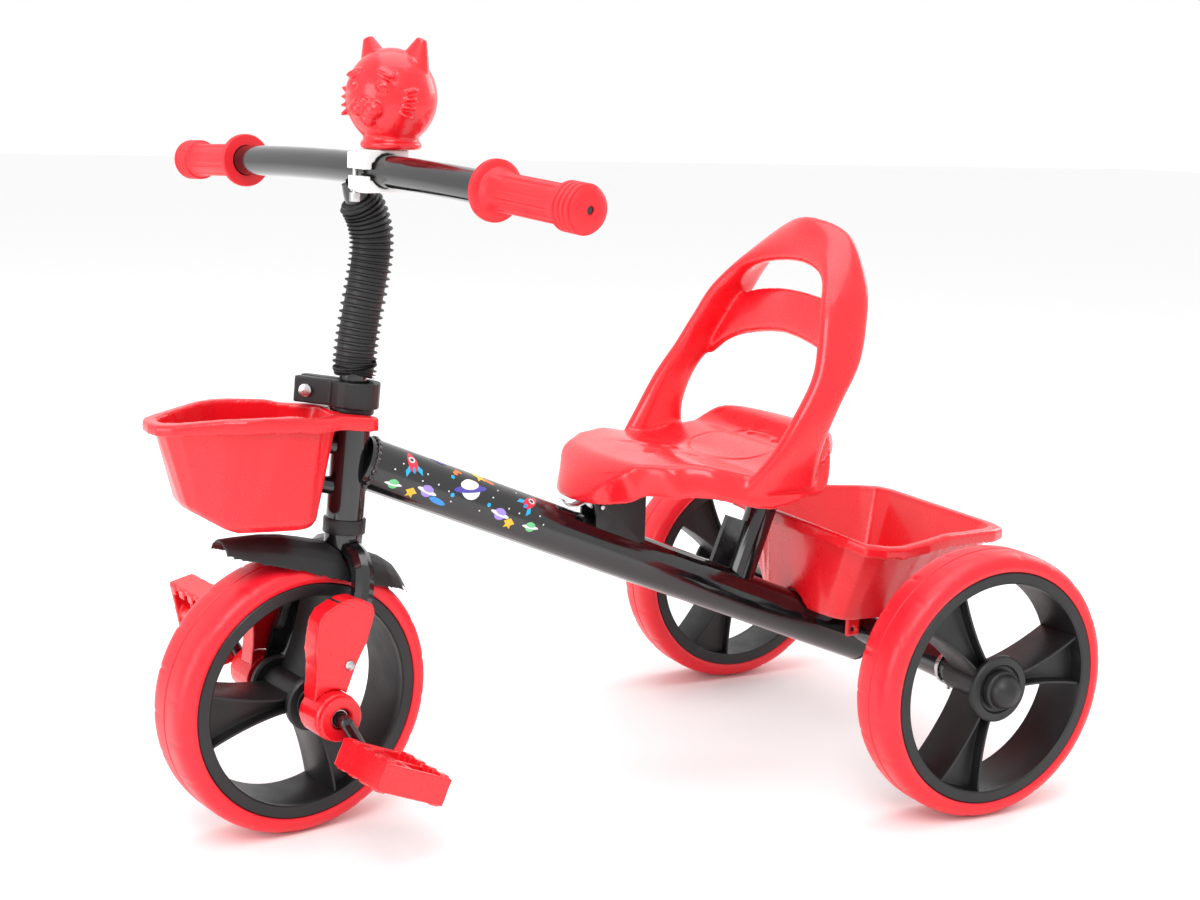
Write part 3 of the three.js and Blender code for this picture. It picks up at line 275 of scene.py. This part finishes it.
def cast(node, finish, voxel, passes, name=None):
    """A moulded part: every edge run soft, as it leaves the mould."""
    piece = copied(node, name or f"{node}_moulded")
    modify(piece, "REMESH", mode="VOXEL", voxel_size=voxel, use_smooth_shade=True)
    modify(piece, "SMOOTH", factor=0.5, iterations=passes)
    shade(piece, 60)
    return stand_in(piece, finish, BODY_OF[node], node)


def spun(name, profile, steps):
    """A closed ring of [along, radius] points turned about the X axis."""
    bpy.ops.object.select_all(action="DESELECT")
    bpy.ops.mesh.primitive_circle_add(vertices=len(profile), radius=1, fill_type="NOTHING")
    piece = bpy.context.object
    piece.name = name
    for vertex, (along, radius) in zip(piece.data.vertices, profile):
        vertex.co = (along * MM, 0, radius * MM)
    bpy.ops.object.mode_set(mode="EDIT")
    bpy.ops.mesh.select_all(action="SELECT")
    bpy.ops.mesh.spin(steps=steps, angle=math.tau, center=(0, 0, 0), axis=(1, 0, 0))
    bpy.ops.mesh.select_all(action="SELECT")
    bpy.ops.mesh.remove_doubles(threshold=0.000005)
    bpy.ops.mesh.normals_make_consistent(inside=False)
    bpy.ops.object.mode_set(mode="OBJECT")
    return piece


def put(piece, matrix):
    """The piece's mesh takes its place; its object stays at the origin."""
    piece.data.transform(matrix)
    piece.data.update()
    return piece


def joined(name, parts):
    bpy.ops.object.select_all(action="DESELECT")
    for part in parts:
        part.select_set(True)
    bpy.context.view_layer.objects.active = parts[0]
    bpy.ops.object.join()
    parts[0].name = name
    return parts[0]


# ---------------------------------------------------------------- wheels

JOINT = {joint["name"]: joint for joint in frame["joints"]}
STEER_AXIS = Vector(JOINT["steering_turn"]["axis"])
STEER = Matrix.Rotation(math.radians(11.25), 4, STEER_AXIS)
REAR_WHEEL = {"radius": 110, "width": 48, "seat": 95.5, "bore": 85.5, "hub": 15.4, "turn": 9}
FRONT_WHEEL = {"radius": 107.2, "width": 53.6, "seat": 92.5, "bore": 82, "hub": 14.5, "turn": 61}


def tyre(name, wheel):
    """A blow-moulded tyre with rounded shoulders, a parting line and pressed-in tread marks."""
    half, radius, seat = wheel["width"] / 2, wheel["radius"], wheel["seat"] + 0.5
    edge = [(half - 1.2, seat), (half - 0.2, seat + 1.2), (half, radius - 10), (half - 0.5, radius - 8),
            (half - 1.6, radius - 5.6), (half - 3.2, radius - 3.7), (half - 5.5, radius - 2.1),
            (half - 8.5, radius - 0.9), (half - 12, radius - 0.25), (half - 16, radius), (5, radius),
            (1.1, radius), (0.5, radius - 0.7)]
    mirrored = [(-along, high) for along, high in reversed(edge)]
    piece = spun(name, edge + [(0, radius - 0.75)] + mirrored, 300)
    for vertex in piece.data.vertices:
        along, y, z = vertex.co / MM
        high = math.hypot(y, z)
        if high < radius - 9:
            continue
        angle = math.degrees(math.atan2(z, y)) + (9 if along > 0 else 0)
        near = abs((angle + 9) % 18 - 9) * math.radians(1) * radius
        mark = max(0, 1 - near / 2.2) * (0.9 if 7 < abs(along) < half - 3 else 0)
        scale = (high - mark) / high
        vertex.co = Vector((along, y * scale, z * scale)) * MM
    shade(piece, 40)
    return piece


def spoke(wheel, turn):
    """A wedge-shaped spoke, hollowed on both faces."""
    hub, bore = wheel["hub"], wheel["bore"]
    low, high = -wheel["width"] / 2 + 3, wheel["width"] / 2 - 3.5
    bpy.ops.object.select_all(action="DESELECT")
    bpy.ops.mesh.primitive_grid_add(x_subdivisions=18, y_subdivisions=4, size=2)
    piece = bpy.context.object
    for vertex in piece.data.vertices:
        reach = hub * 0.7 + (vertex.co.x + 1) / 2 * (bore + 2.5 - hub * 0.7)
        share = max(0, (reach - hub) / (bore - hub))
        vertex.co = Vector((reach, vertex.co.y * (6 + 16 * share ** 1.7), high)) * MM
    bpy.ops.object.mode_set(mode="EDIT")
    bpy.ops.mesh.select_all(action="SELECT")
    bpy.ops.mesh.extrude_region_move(TRANSFORM_OT_translate={"value": (0, 0, (low - high) * MM)})
    bpy.ops.mesh.select_all(action="SELECT")
    bpy.ops.mesh.normals_make_consistent(inside=False)
    bpy.ops.object.mode_set(mode="OBJECT")
    for facing, depth in ((1, -10), (-1, 8)):
        bpy.ops.object.mode_set(mode="EDIT")
        bpy.ops.mesh.select_mode(type="FACE")
        bpy.ops.mesh.select_all(action="DESELECT")
        bpy.ops.object.mode_set(mode="OBJECT")
        for face in piece.data.polygons:
            face.select = face.normal.z * facing > 0.9
        bpy.ops.object.mode_set(mode="EDIT")
        bpy.ops.mesh.inset(thickness=2.2 * MM, use_boundary=True)
        bpy.ops.mesh.extrude_region_move(TRANSFORM_OT_translate={"value": (0, 0, depth * MM)})
        bpy.ops.object.mode_set(mode="OBJECT")
    modify(piece, "BEVEL", width=0.0006, segments=2, limit_method="ANGLE", angle_limit=math.radians(50))
    upright = Matrix(((0, 0, 1, 0), (1, 0, 0, 0), (0, 1, 0, 0), (0, 0, 0, 1)))
    return put(piece, Matrix.Rotation(math.radians(turn), 4, "X") @ upright)


def wheel_core(name, wheel, hub_low, hub_high, flanges):
    half, seat, bore, hub = wheel["width"] / 2 - 0.6, wheel["seat"], wheel["bore"], wheel["hub"]
    rim = spun("rim", [(-half, seat), (-half, bore + 1), (-half + 1, bore), (half - 9, bore), (half - 7, bore + 0.6),
                       (half - 1.2, bore + 0.6), (half, bore + 1.8), (half, seat - 0.8), (half - 0.8, seat)], 180)
    barrel = spun("barrel", [(hub_low, 5.6), (hub_low, hub - 1), (hub_low + 1, hub), (hub_high - 1, hub),
                             (hub_high, hub - 1), (hub_high, 5.6)], 72)
    discs = [spun("disc", [(low, hub - 2), (low, reach - 1), (low + 1, reach), (high - 1.5, reach),
                           (high, reach - 1.5), (high, reach - 7), (high - 1.5, reach - 8.5),
                           (high - 1.5, hub - 2)], 96) for low, high, reach in flanges]
    arms = [spoke(wheel, wheel["turn"] + 120 * k) for k in range(3)]
    piece = joined(name, [rim, barrel, *discs, *arms])
    shade(piece, 32)
    return piece


def add_rear_wheel(side, mirror):
    place = Matrix.Translation(JOINT[f"rear_wheel_{side}_spin"]["pos_m"])
    if mirror < 0:
        place = place @ Matrix.Scale(-1, 4, (1, 0, 0))
    body = f"rear_wheel_{side}"
    core = wheel_core(f"{body}_core", REAR_WHEEL, -30, 24.6, [(19, 24.6, 27.3)])
    cover = spun(f"{body}_cap", [(24.9, 6), (24.9, 16.3), (28.5, 16.3), (29.6, 15.6), (30.2, 14.4), (32.5, 13.9),
                                 (35.8, 12.4), (38.6, 9.9), (40.8, 6.6), (42.1, 3.2), (42.6, 0.02), (41.5, 0.02)], 72)
    shade(cover, 45)
    soft = tyre(f"{body}_tread", REAR_WHEEL)
    for piece, finish, node in ((core, BLACK, f"rear_wheel_{side}"), (soft, TYRE_RED, f"rear_tyre_{side}"),
                                (cover, BLACK, f"axle_cap_{side}")):
        put(piece, place)
        if mirror < 0:
            piece.data.flip_normals()
        stand_in(piece, finish, BODY_OF[node], node)


def add_front_wheel():
    place = Matrix.Translation(JOINT["front_wheel_spin"]["pos_m"]) @ STEER
    core = wheel_core("front_wheel_core", FRONT_WHEEL, -31, 31, [(-31, -25, 21.6), (25, 31, 21.6)])
    stand_in(put(core, place), BLACK, "front_wheel_and_crank", "front_wheel")
    soft = tyre("front_wheel_tread", FRONT_WHEEL)
    stand_in(put(soft, place), TYRE_RED, "front_wheel_and_crank", "front_tyre")


# ---------------------------------------------------------------- places

# The foot of every measure below: under the front axle, on the middle of the frame.
FOOT = Vector(JOINT["rear_wheel_left_spin"]["pos_m"]) - Vector((195.5, 516, 110)) * MM
SWEEP_STEP = 0.02


# Everything above the fork is measured with the bar straight ahead, and then turned with it.
HEAD_AXIS = Matrix.Translation(JOINT["steering_turn"]["pos_m"])
TURNED = HEAD_AXIS @ STEER @ HEAD_AXIS.inverted()


def at(x, y, z):
    return FOOT + Vector((x, y, z)) * MM


def line_through(points):
    """A smooth line through points; it is asked for a share from 0 to 1."""
    last = len(points) - 1

    def place(share):
        share = min(max(share, 0), 1) * last
        k = min(int(share), last - 1)
        t = share - k
        a, b, c, d = (points[max(k - 1, 0)], points[k], points[k + 1], points[min(k + 2, last)])
        if k == 0:
            a = 2 * points[0] - points[1]
        if k == last - 1:
            d = 2 * points[last] - points[last - 1]
        return 0.5 * (2 * b + (c - a) * t + (2 * a - 5 * b + 4 * c - d) * t * t + (3 * b - 3 * c + d - a) * t ** 3)

    return place


def both_sides(points):
    """A line through points on the left side and their mirror images."""
    return line_through([at(*point) for point in points] + [at(-x, y, z) for x, y, z in reversed(points[:-1])])


def lofted(name, place, steps, sides, closed_ends=True):
    """A grid whose corners go to place(along, round), its long edges joined and its ends filled."""
    bpy.ops.object.select_all(action="DESELECT")
    bpy.ops.mesh.primitive_grid_add(x_subdivisions=steps, y_subdivisions=sides, size=2)
    piece = bpy.context.object
    piece.name = name
    for vertex in piece.data.vertices:
        vertex.co = place((vertex.co.x + 1) / 2, (vertex.co.y + 1) / 2)
    bpy.ops.object.mode_set(mode="EDIT")
    bpy.ops.mesh.select_all(action="SELECT")
    bpy.ops.mesh.remove_doubles(threshold=0.000002)
    if closed_ends:
        bpy.ops.mesh.fill_holes(sides=0)
    bpy.ops.mesh.select_all(action="SELECT")
    bpy.ops.mesh.normals_make_consistent(inside=False)
    bpy.ops.object.mode_set(mode="OBJECT")
    return piece


def tube(name, line, radius, steps, sides, flat=(1, 0, 0)):
    """A round bar along a line. radius is a number of mm or a rule for a share along the line."""
    def place(share, turn):
        along = (line(share + SWEEP_STEP / 4) - line(share - SWEEP_STEP / 4)).normalized()
        side = Vector(flat)
        side = (side - along * side.dot(along)).normalized()
        out = math.tau * turn
        reach = (radius(share) if callable(radius) else radius) * MM
        return line(share) + (side * math.cos(out) + along.cross(side) * math.sin(out)) * reach

    return lofted(name, place, steps, sides)


def welded(name, parts, voxel, passes):
    """Parts run together into one moulding with soft inside corners."""
    piece = joined(name, parts)
    modify(piece, "REMESH", mode="VOXEL", voxel_size=voxel, use_smooth_shade=True)
    modify(piece, "SMOOTH", factor=0.5, iterations=passes)
    shade(piece, 70)
    return piece


def ball(x, y, z, wide, deep, high, turn=0.0, finely=32):
    """An egg-shaped lump about a place in mm."""
    bpy.ops.object.select_all(action="DESELECT")
    bpy.ops.mesh.primitive_uv_sphere_add(segments=finely, ring_count=finely // 2, radius=1)
    piece = bpy.context.object
    spread = Matrix.Diagonal((wide * MM, deep * MM, high * MM, 1))
    return put(piece, Matrix.Translation(Vector((x, y, z)) * MM) @ Matrix.Rotation(turn, 4, "Y") @ spread)


# ---------------------------------------------------------------- seat


def ease(pairs, place):
    """A value that runs smoothly through [place, value] pairs."""
    k = 0
    while k < len(pairs) - 2 and place > pairs[k + 1][0]:
        k += 1
    (p0, v0), (p1, v1) = pairs[k], pairs[k + 1]
    share = min(max((place - p0) / (p1 - p0), 0), 1)
    return v0 + (v1 - v0) * share * share * (3 - 2 * share)


PAN_TOP = [(232, 268), (262, 279), (302, 281), (362, 272), (415, 280), (445, 297), (468, 302)]
PAN_WIDTH = [(232, 40), (252, 64), (285, 90), (320, 106), (350, 114), (420, 112), (468, 72)]


def pan_place(u, v):
    front, rear, drop = 232, 468, 26
    across = abs(2 * u - 1)
    side, tip, tail = (max(0, (share - flat) / (1 - flat)) for share, flat in
                       ((across, 0.7), (1 - v, 0.86), (v, 0.9)))
    quarter = math.pi / 2
    y = front + (rear - front) * min(max(v, 0.14), 0.9)
    y += (front - y) * math.sin(tip * quarter) + (rear - y) * math.sin(tail * quarter)
    reach = 0.88 + 0.12 * math.sin(side * quarter) if side > 0 else 0.88 * across / 0.7
    x = math.copysign(reach * ease(PAN_WIDTH, y), u - 0.5)
    fall = 1 - math.cos(max(side, tip, tail) * quarter)
    curve = 22 * (1 - v) ** 4 - 34 * v ** 6
    return at(x, y + curve * across ** 2, ease(PAN_TOP, y) - drop * fall)


def ribbon(name, front, rear, thick, steps):
    """A rounded band between two edge lines."""
    def place(u, v):
        edge, far = front(u), rear(u)
        along = front(u + SWEEP_STEP) - front(u - SWEEP_STEP)
        outward = along.cross(far - edge).normalized()
        out = math.tau * v
        wide, high = math.cos(out), math.sin(out)
        wide, high = (math.copysign(abs(c) ** 0.75, c) for c in (wide, high))
        return (edge + far) / 2 + (edge - far) / 2 * wide + outward * (thick / 2 * MM) * high

    return lofted(name, place, steps, 28)


def pressed_pattern(piece):
    """A ring and four petals pressed into the top of the pan."""
    upward = [vertex.normal.z for vertex in piece.data.vertices]
    for vertex, up in zip(piece.data.vertices, upward):
        x, y, z = (vertex.co - FOOT) / MM
        if up < 0.6 or not 262 < y < 440 or z > 306 or abs(x) > 84:
            continue
        ring = abs(math.hypot(x / 50, (y - 392) / 34) - 1) * 40
        dent = max(0, 1 - ring / 2.2) * 0.7
        for turn in (45, 135, 225, 315):
            reach = math.radians(turn)
            along = x * math.cos(reach) + (y - 322) * math.sin(reach) - 24
            beside = -x * math.sin(reach) + (y - 322) * math.cos(reach)
            dent += max(0, 1 - math.hypot(along / 15, beside / 8) ** 2) * 1.3
        vertex.co.z -= dent * MM
    piece.data.update()


def add_seat():
    sheet = lofted("pan", pan_place, 90, 90, closed_ends=False)
    modify(sheet, "SOLIDIFY", thickness=0.0045, offset=-1)
    hoop = ribbon("hoop", both_sides([(106, 336, 262), (114, 358, 290), (115, 378, 322), (110, 396, 350),
                                      (100, 406, 374), (84, 417, 402), (54, 436, 426), (0, 446, 433)]),
                  both_sides([(108, 404, 262), (113, 406, 295), (114, 420, 328), (106, 442, 358),
                              (94, 456, 388), (78, 466, 422), (46, 470, 458), (0, 462, 470)]), 16, 160)
    bar = ribbon("bar", both_sides([(103, 426, 340), (84, 432, 354), (56, 438, 364), (0, 440, 371)]),
                 both_sides([(92, 452, 392), (78, 448, 398), (48, 449, 405), (0, 446, 409)]), 13, 80)
    carriers = [tube("boss", line_through([at(x, y, 243.5), at(x, y, ease(PAN_TOP, y) - 2)]), 7, 2, 24)
                for x, y in ((-20, 427), (20, 427), (0, 278))]
    seat = welded("seat_shell", [sheet, hoop, bar, *carriers], 0.0016, 16)
    pressed_pattern(seat)
    stand_in(seat, RED, "frame", "seat")


# ---------------------------------------------------------------- bell

BELL_PLACE = Matrix.Translation(at(30, 62.5, 560.2)) @ Matrix.Rotation(math.radians(22), 4, "Z")


def add_bell():
    """A squeaker in the shape of a cat's head, made facing -Y about its own middle."""
    parts = [ball(0, 0, 0, 34, 32.5, 35.5, finely=48), ball(0, 1, 11, 29, 28, 24)]
    parts += [ball(side * 6.2, -31, -8.5, 8.2, 6.5, 6.4) for side in (1, -1)]
    parts += [ball(0, -34.5, -3.2, 4.2, 3.4, 3.0), ball(0, -28.5, -16, 7, 6, 5)]
    for side in (1, -1):
        parts += [ball(side * 12.5, -28, 7.5, 6.6, 4.0, 5.6, side * 0.2), ball(side * 12, -31.6, 7.6, 2.4, 1.6, 2.6),
                  ball(side * 14, -26, 17, 8, 3, 2.2, side * 0.35)]
        parts += [ball(side * (25.4 + 0.5 * k), -17.5 + k, -11 + 5 * k, 6.6, 6.2, 1.7, side * (0.5 - 0.3 * k))
                  for k in range(4)]
        bpy.ops.object.select_all(action="DESELECT")
        bpy.ops.mesh.primitive_cone_add(vertices=32, radius1=15, radius2=4, depth=24, end_fill_type="NGON")
        ear = bpy.context.object
        lean = Matrix.Rotation(side * 0.36, 4, "Y")
        parts.append(put(ear, Matrix.Translation(Vector((side * 20, 3, 31)) * MM) @ lean
                         @ Matrix.Diagonal((MM, 0.72 * MM, MM, 1))))
    parts.append(spun("neck", [(-37, 0.05), (-37, 21), (-35.5, 22.4), (-32.5, 22.4), (-31, 20.4), (-26, 19.6),
                               (-18, 22), (-18, 0.05)], 48))
    put(parts[-1], Matrix.Rotation(-math.pi / 2, 4, "Y"))
    head = put(welded("bell_squeaker", parts, 0.0010, 5), TURNED @ BELL_PLACE)
    stand_in(head, RED, "steering", "bell_head")


# ---------------------------------------------------------------- handlebar

BAR_Y, BAR_Z, BAR_SLOPE, BAR_HALF, BAR_STRAIGHT = 52.5, 498, 0.05, 281, 170


def bar_line(share):
    x = (2 * share - 1) * BAR_HALF
    out = abs(x)
    rise = BAR_SLOPE * (BAR_HALF - (out if out > BAR_STRAIGHT else BAR_STRAIGHT / 2 + x * x / (2 * BAR_STRAIGHT)))
    return at(x, BAR_Y, BAR_Z + rise)


STEM_BEND = [(51.2, 362), (53.4, 380), (57, 400), (61.4, 422), (64.6, 441), (64.8, 458), (60.6, 473), (53.5, 485)]


def add_bar():
    bar = tube("bar", bar_line, 12, 96, 40, flat=(0, 1, 0))
    stem = tube("stem", line_through([at(0, 49, 302), at(0, 50, 345)] + [at(0, y, z) for y, z in STEM_BEND]
                                     + [at(0, 50.5, 497)]), 10.4, 60, 24)
    piece = put(joined("bar_and_stem", [bar, stem]), TURNED)
    shade(piece, 40)
    stand_in(piece, PAINT, "steering", "handlebar")


def add_sleeve():
    """A corrugated sleeve over the stem's bend."""
    line = line_through([at(0, 50.4, 352), at(0, 51.8, 357)] + [at(0, y, z) for y, z in STEM_BEND])
    ribs = 33

    def radius(share):
        return 14.3 + 2.6 * max(0, math.sin(math.tau * ribs * share)) ** 0.6

    outer = put(tube("ribbed_sleeve", line, radius, ribs * 10, 36), TURNED)
    shade(outer, 50)
    stand_in(outer, SLEEVE_BLACK, "steering", "stem_sleeve")


def add_grip(side, mirror):
    start, end = 176.4, 283.4
    edge = [(start, 12.5), (start, 20.4), (start + 0.9, 21.3), (start + 4.1, 21.3), (start + 5, 20.4),
            (start + 6, 16.4), (start + 8.5, 14.6), (start + 13, 13.6), (start + 20, 13.4)]
    edge += [(start + 20 + 2 * k, 13.4) for k in range(1, 29)]
    edge += [(end - 27, 13.5), (end - 24.6, 14.6)]
    for k in range(4):
        ring = end - 23.6 + 5.0 * k
        edge += [(ring, 14.9), (ring + 0.5, 16.1), (ring + 1.4, 16.6), (ring + 2.6, 16.6), (ring + 3.5, 16.1),
                 (ring + 4.0, 14.9)]
    edge += [(end - 3.2, 15.2), (end - 1.6, 13.2), (end - 0.4, 9.6), (end, 6), (end - 0.3, 3.4), (end - 1.2, 2.7),
             (end - 2.2, 2.7), (end - 2.2, 12.5)]
    piece = spun(f"{side}_grip", edge, 120)
    for vertex in piece.data.vertices:
        along, y, z = vertex.co / MM
        high = math.hypot(y, z)
        if not (start + 16 < along < end - 28 and high > 13):
            continue
        angle = math.degrees(math.atan2(z, y)) % 36 - 18
        fade = min(1, (along - start - 16) / 5, (end - 28 - along) / 5)
        groove = max(0, 1 - (angle / 9) ** 2) * 1.1 * max(0, fade)
        vertex.co = Vector((along, y * (high - groove) / high, z * (high - groove) / high)) * MM
    lean = Vector((1, 0, 0)).rotation_difference(Vector((1, 0, -BAR_SLOPE))).to_matrix().to_4x4()
    flip = Matrix.Scale(mirror, 4, (1, 0, 0))
    put(piece, TURNED @ Matrix.Translation(at(0, BAR_Y, BAR_Z + BAR_SLOPE * BAR_HALF)) @ flip @ lean)
    if mirror < 0:
        piece.data.flip_normals()
    shade(piece, 40)
    stand_in(piece, GRIP_RED, "steering", f"grip_{side}")


# ---------------------------------------------------------------- graphics on the beam

BEAM_FOOT = at(0, 68.4, 279.3)
BEAM_ALONG = Vector((0, 1, -0.40893)).normalized()
BEAM_UP = Vector((0, 0.40893, 1)).normalized()
INK = {name: moulded_plastic(f"ink_{name}", color, tuple(c * 0.85 for c in color), 0.22, 0.00002, 0.4)
       for name, color in (("red", (0.80, 0.02, 0.05)), ("blue", (0.02, 0.30, 0.80)), ("cyan", (0.0, 0.45, 0.80)),
                           ("yellow", (0.95, 0.55, 0.01)), ("orange", (0.85, 0.20, 0.01)),
                           ("purple", (0.38, 0.27, 0.78)), ("green", (0.16, 0.62, 0.26)), ("white", (0.9, 0.9, 0.9)),
                           ("violet", (0.08, 0.06, 0.42)), ("night", (0.01, 0.02, 0.05)))}


def sticker(points, ink, along, angle, turn=0.0, lift=0.0):
    """A printed shape, drawn as points in mm, that follows the round of the beam."""
    bpy.ops.object.select_all(action="DESELECT")
    bpy.ops.mesh.primitive_circle_add(vertices=len(points), radius=1, fill_type="TRIFAN")
    piece = bpy.context.object
    middle = [sum(point[k] for point in points) / len(points) for k in (0, 1)]
    for vertex, (p, q) in zip(piece.data.vertices, [*points, middle]):
        vertex.co = (p, q, 0)
    bpy.ops.object.mode_set(mode="EDIT")
    bpy.ops.mesh.select_all(action="SELECT")
    bpy.ops.mesh.subdivide(number_cuts=3)
    bpy.ops.object.mode_set(mode="OBJECT")
    cos, sin, radius = math.cos(turn), math.sin(turn), 20.62 + lift
    for vertex in piece.data.vertices:
        p, q = vertex.co.x * cos - vertex.co.y * sin, vertex.co.x * sin + vertex.co.y * cos
        out = math.radians(angle) + q / radius
        vertex.co = (BEAM_FOOT + BEAM_ALONG * (along + p) * MM
                     + (Vector((1, 0, 0)) * math.cos(out) + BEAM_UP * math.sin(out)) * radius * MM)
    piece.data.materials.append(INK[ink].material)
    return piece


def oval(wide, high, p=0.0, q=0.0, count=24):
    return [(p + wide * math.cos(math.tau * k / count), q + high * math.sin(math.tau * k / count))
            for k in range(count)]


def star(radius):
    return [((radius if k % 2 == 0 else radius * 0.45) * math.sin(math.tau * k / 10),
             (radius if k % 2 == 0 else radius * 0.45) * math.cos(math.tau * k / 10)) for k in range(10)]


def rocket(along, angle, turn):
    """Nose up along +q: red hull, cyan fins, blue flame and a round window."""
    hull = [(0, 11), (2.2, 8.5), (3.9, 4.5), (4.4, 0.5), (3.6, -4), (2.6, -6), (-2.6, -6), (-3.6, -4), (-4.4, 0.5),
            (-3.9, 4.5), (-2.2, 8.5)]
    parts = [sticker([(3.4, -1), (7.4, -5), (7.0, -10), (3.4, -6)], "cyan", along, angle, turn),
             sticker([(-3.4, -1), (-7.4, -5), (-7.0, -10), (-3.4, -6)], "cyan", along, angle, turn),
             sticker(hull, "red", along, angle, turn, 0.05),
             sticker(oval(1.3, 2.6, 0, -5.2), "blue", along, angle, turn, 0.1),
             sticker(oval(2.7, 2.7, 0, 3.6), "white", along, angle, turn, 0.1),
             sticker(oval(1.6, 1.6, 0, 3.6), "night", along, angle, turn, 0.15)]
    return parts


def ringed(along, angle, globe, ring, size, turn=0.1):
    return [sticker(oval(size, size), globe, along, angle, turn),
            sticker(oval(size * 1.75, size * 0.36), ring, along, angle, turn, 0.05),
            sticker(oval(size * 0.98, size * 0.5, 0, size * 0.42), globe, along, angle, turn, 0.1)]


def add_graphics():
    parts = rocket(22, 37, 0.35) + rocket(129.7, 44, -0.75)
    parts += ringed(11.2, -20, "green", "white", 4.2) + ringed(135.5, -9, "green", "white", 4.2)
    parts += ringed(39.6, -10, "purple", "white", 5.0, -0.1) + ringed(105.9, -4, "purple", "white", 5.0, -0.1)
    parts += [sticker(star(5.2), "yellow", 27.7, -27), sticker(star(5.2), "yellow", 116.4, -19)]
    parts += [sticker(oval(7.5, 2.6), "blue", 51.3, -24, -0.15), sticker(oval(7, 2.2), "violet", 46.3, 78, -0.2),
              sticker(oval(3.4, 1.6), "orange", 63.2, 62, -0.2), sticker(oval(2.2, 2.0), "orange", 60.5, 54),
              sticker(star(6.5), "yellow", 84, 72, 0.3), sticker(oval(5.5, 1.8), "orange", 92, 66, -0.3)]
    parts += ringed(75, 27, "white", "violet", 8.6, 0.35)
    parts += [sticker(oval(1.7, 1.7), "cyan", 75 + p, 27 + q) for p, q in ((-17, 14), (19, -20), (-14, -26))]
    parts += [sticker(oval(0.7, 0.7, count=10), "white", along, angle)
              for along, angle in ((8, 12), (14, 30), (33, 8), (36, 26), (47, 12), (57, 6), (62, -14), (96, 26),
                                   (100, 48), (112, 14), (122, 12), (141, 22), (146, 6), (118, 62), (88, -12))]
    graphics = joined("beam_graphics", parts)
    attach(graphics, "frame")


def add_weld():
    """The lumpy bead where the beam meets the head tube."""
    def place(u, v):
        out = math.tau * u
        bead = 1.9 + 0.5 * math.sin(26 * out)
        reach = 20.1 + bead * math.cos(math.tau * v)
        slide = -7.5 + bead * math.sin(math.tau * v)
        return (BEAM_FOOT + BEAM_ALONG * slide * MM
                + (Vector((1, 0, 0)) * math.cos(out) + BEAM_UP * math.sin(out)) * reach * MM)

    bead = lofted("weld_bead", place, 260, 12, closed_ends=False)
    shade(bead, 60)
    stand_in(bead, PAINT, "frame")


# ---------------------------------------------------------------- scene

add_camera()
add_studio()
bpy.ops.mesh.primitive_plane_add(size=30, location=(0, 0, 0))
floor = bpy.context.object
floor.name = "studio_floor"
paper = Finish("pale_paper", (0.95, 0.95, 0.95), 0.9)
paper.bump(paper.noise(300, 3), 0.0001)
floor.data.materials.append(paper.material)

add_rear_wheel("left", 1)
add_rear_wheel("right", -1)
add_front_wheel()

add_seat()
add_bell()
add_bar()
add_sleeve()
add_grip("left", 1)
add_grip("right", -1)
add_graphics()
add_weld()
for node, voxel, passes in (("front_basket", 0.0013, 5), ("rear_basket", 0.0014, 5),
                            ("leg_cover_left", 0.0010, 5), ("leg_cover_right", 0.0010, 5),
                            ("axle_housing_left", 0.0009, 3), ("axle_housing_right", 0.0009, 3),
                            ("pedal_left", 0.0008, 3), ("pedal_right", 0.0008, 3)):
    cast(node, RED, voxel, passes)
cast("mudguard", BLACK, 0.0012, 5)
cast("stem_clamp", BLACK, 0.0008, 2)
for node in ("bell_clamp_upper", "bell_clamp_lower"):
    cast(node, WHITE, 0.0007, 3)
for node in ("frame", "fork", "crank_axle"):
    machined(node, PAINT, 0.0, 32)
for node in ("beam_end_cap", "headset_lower_ring", "headset_upper_ring", "seat_bracket"):
    machined(node, BLACK)
for node in sorted(BODY_OF):
    if not frame["nodes"][node].hide_render:
        machined(node, ZINC, 0.0002)
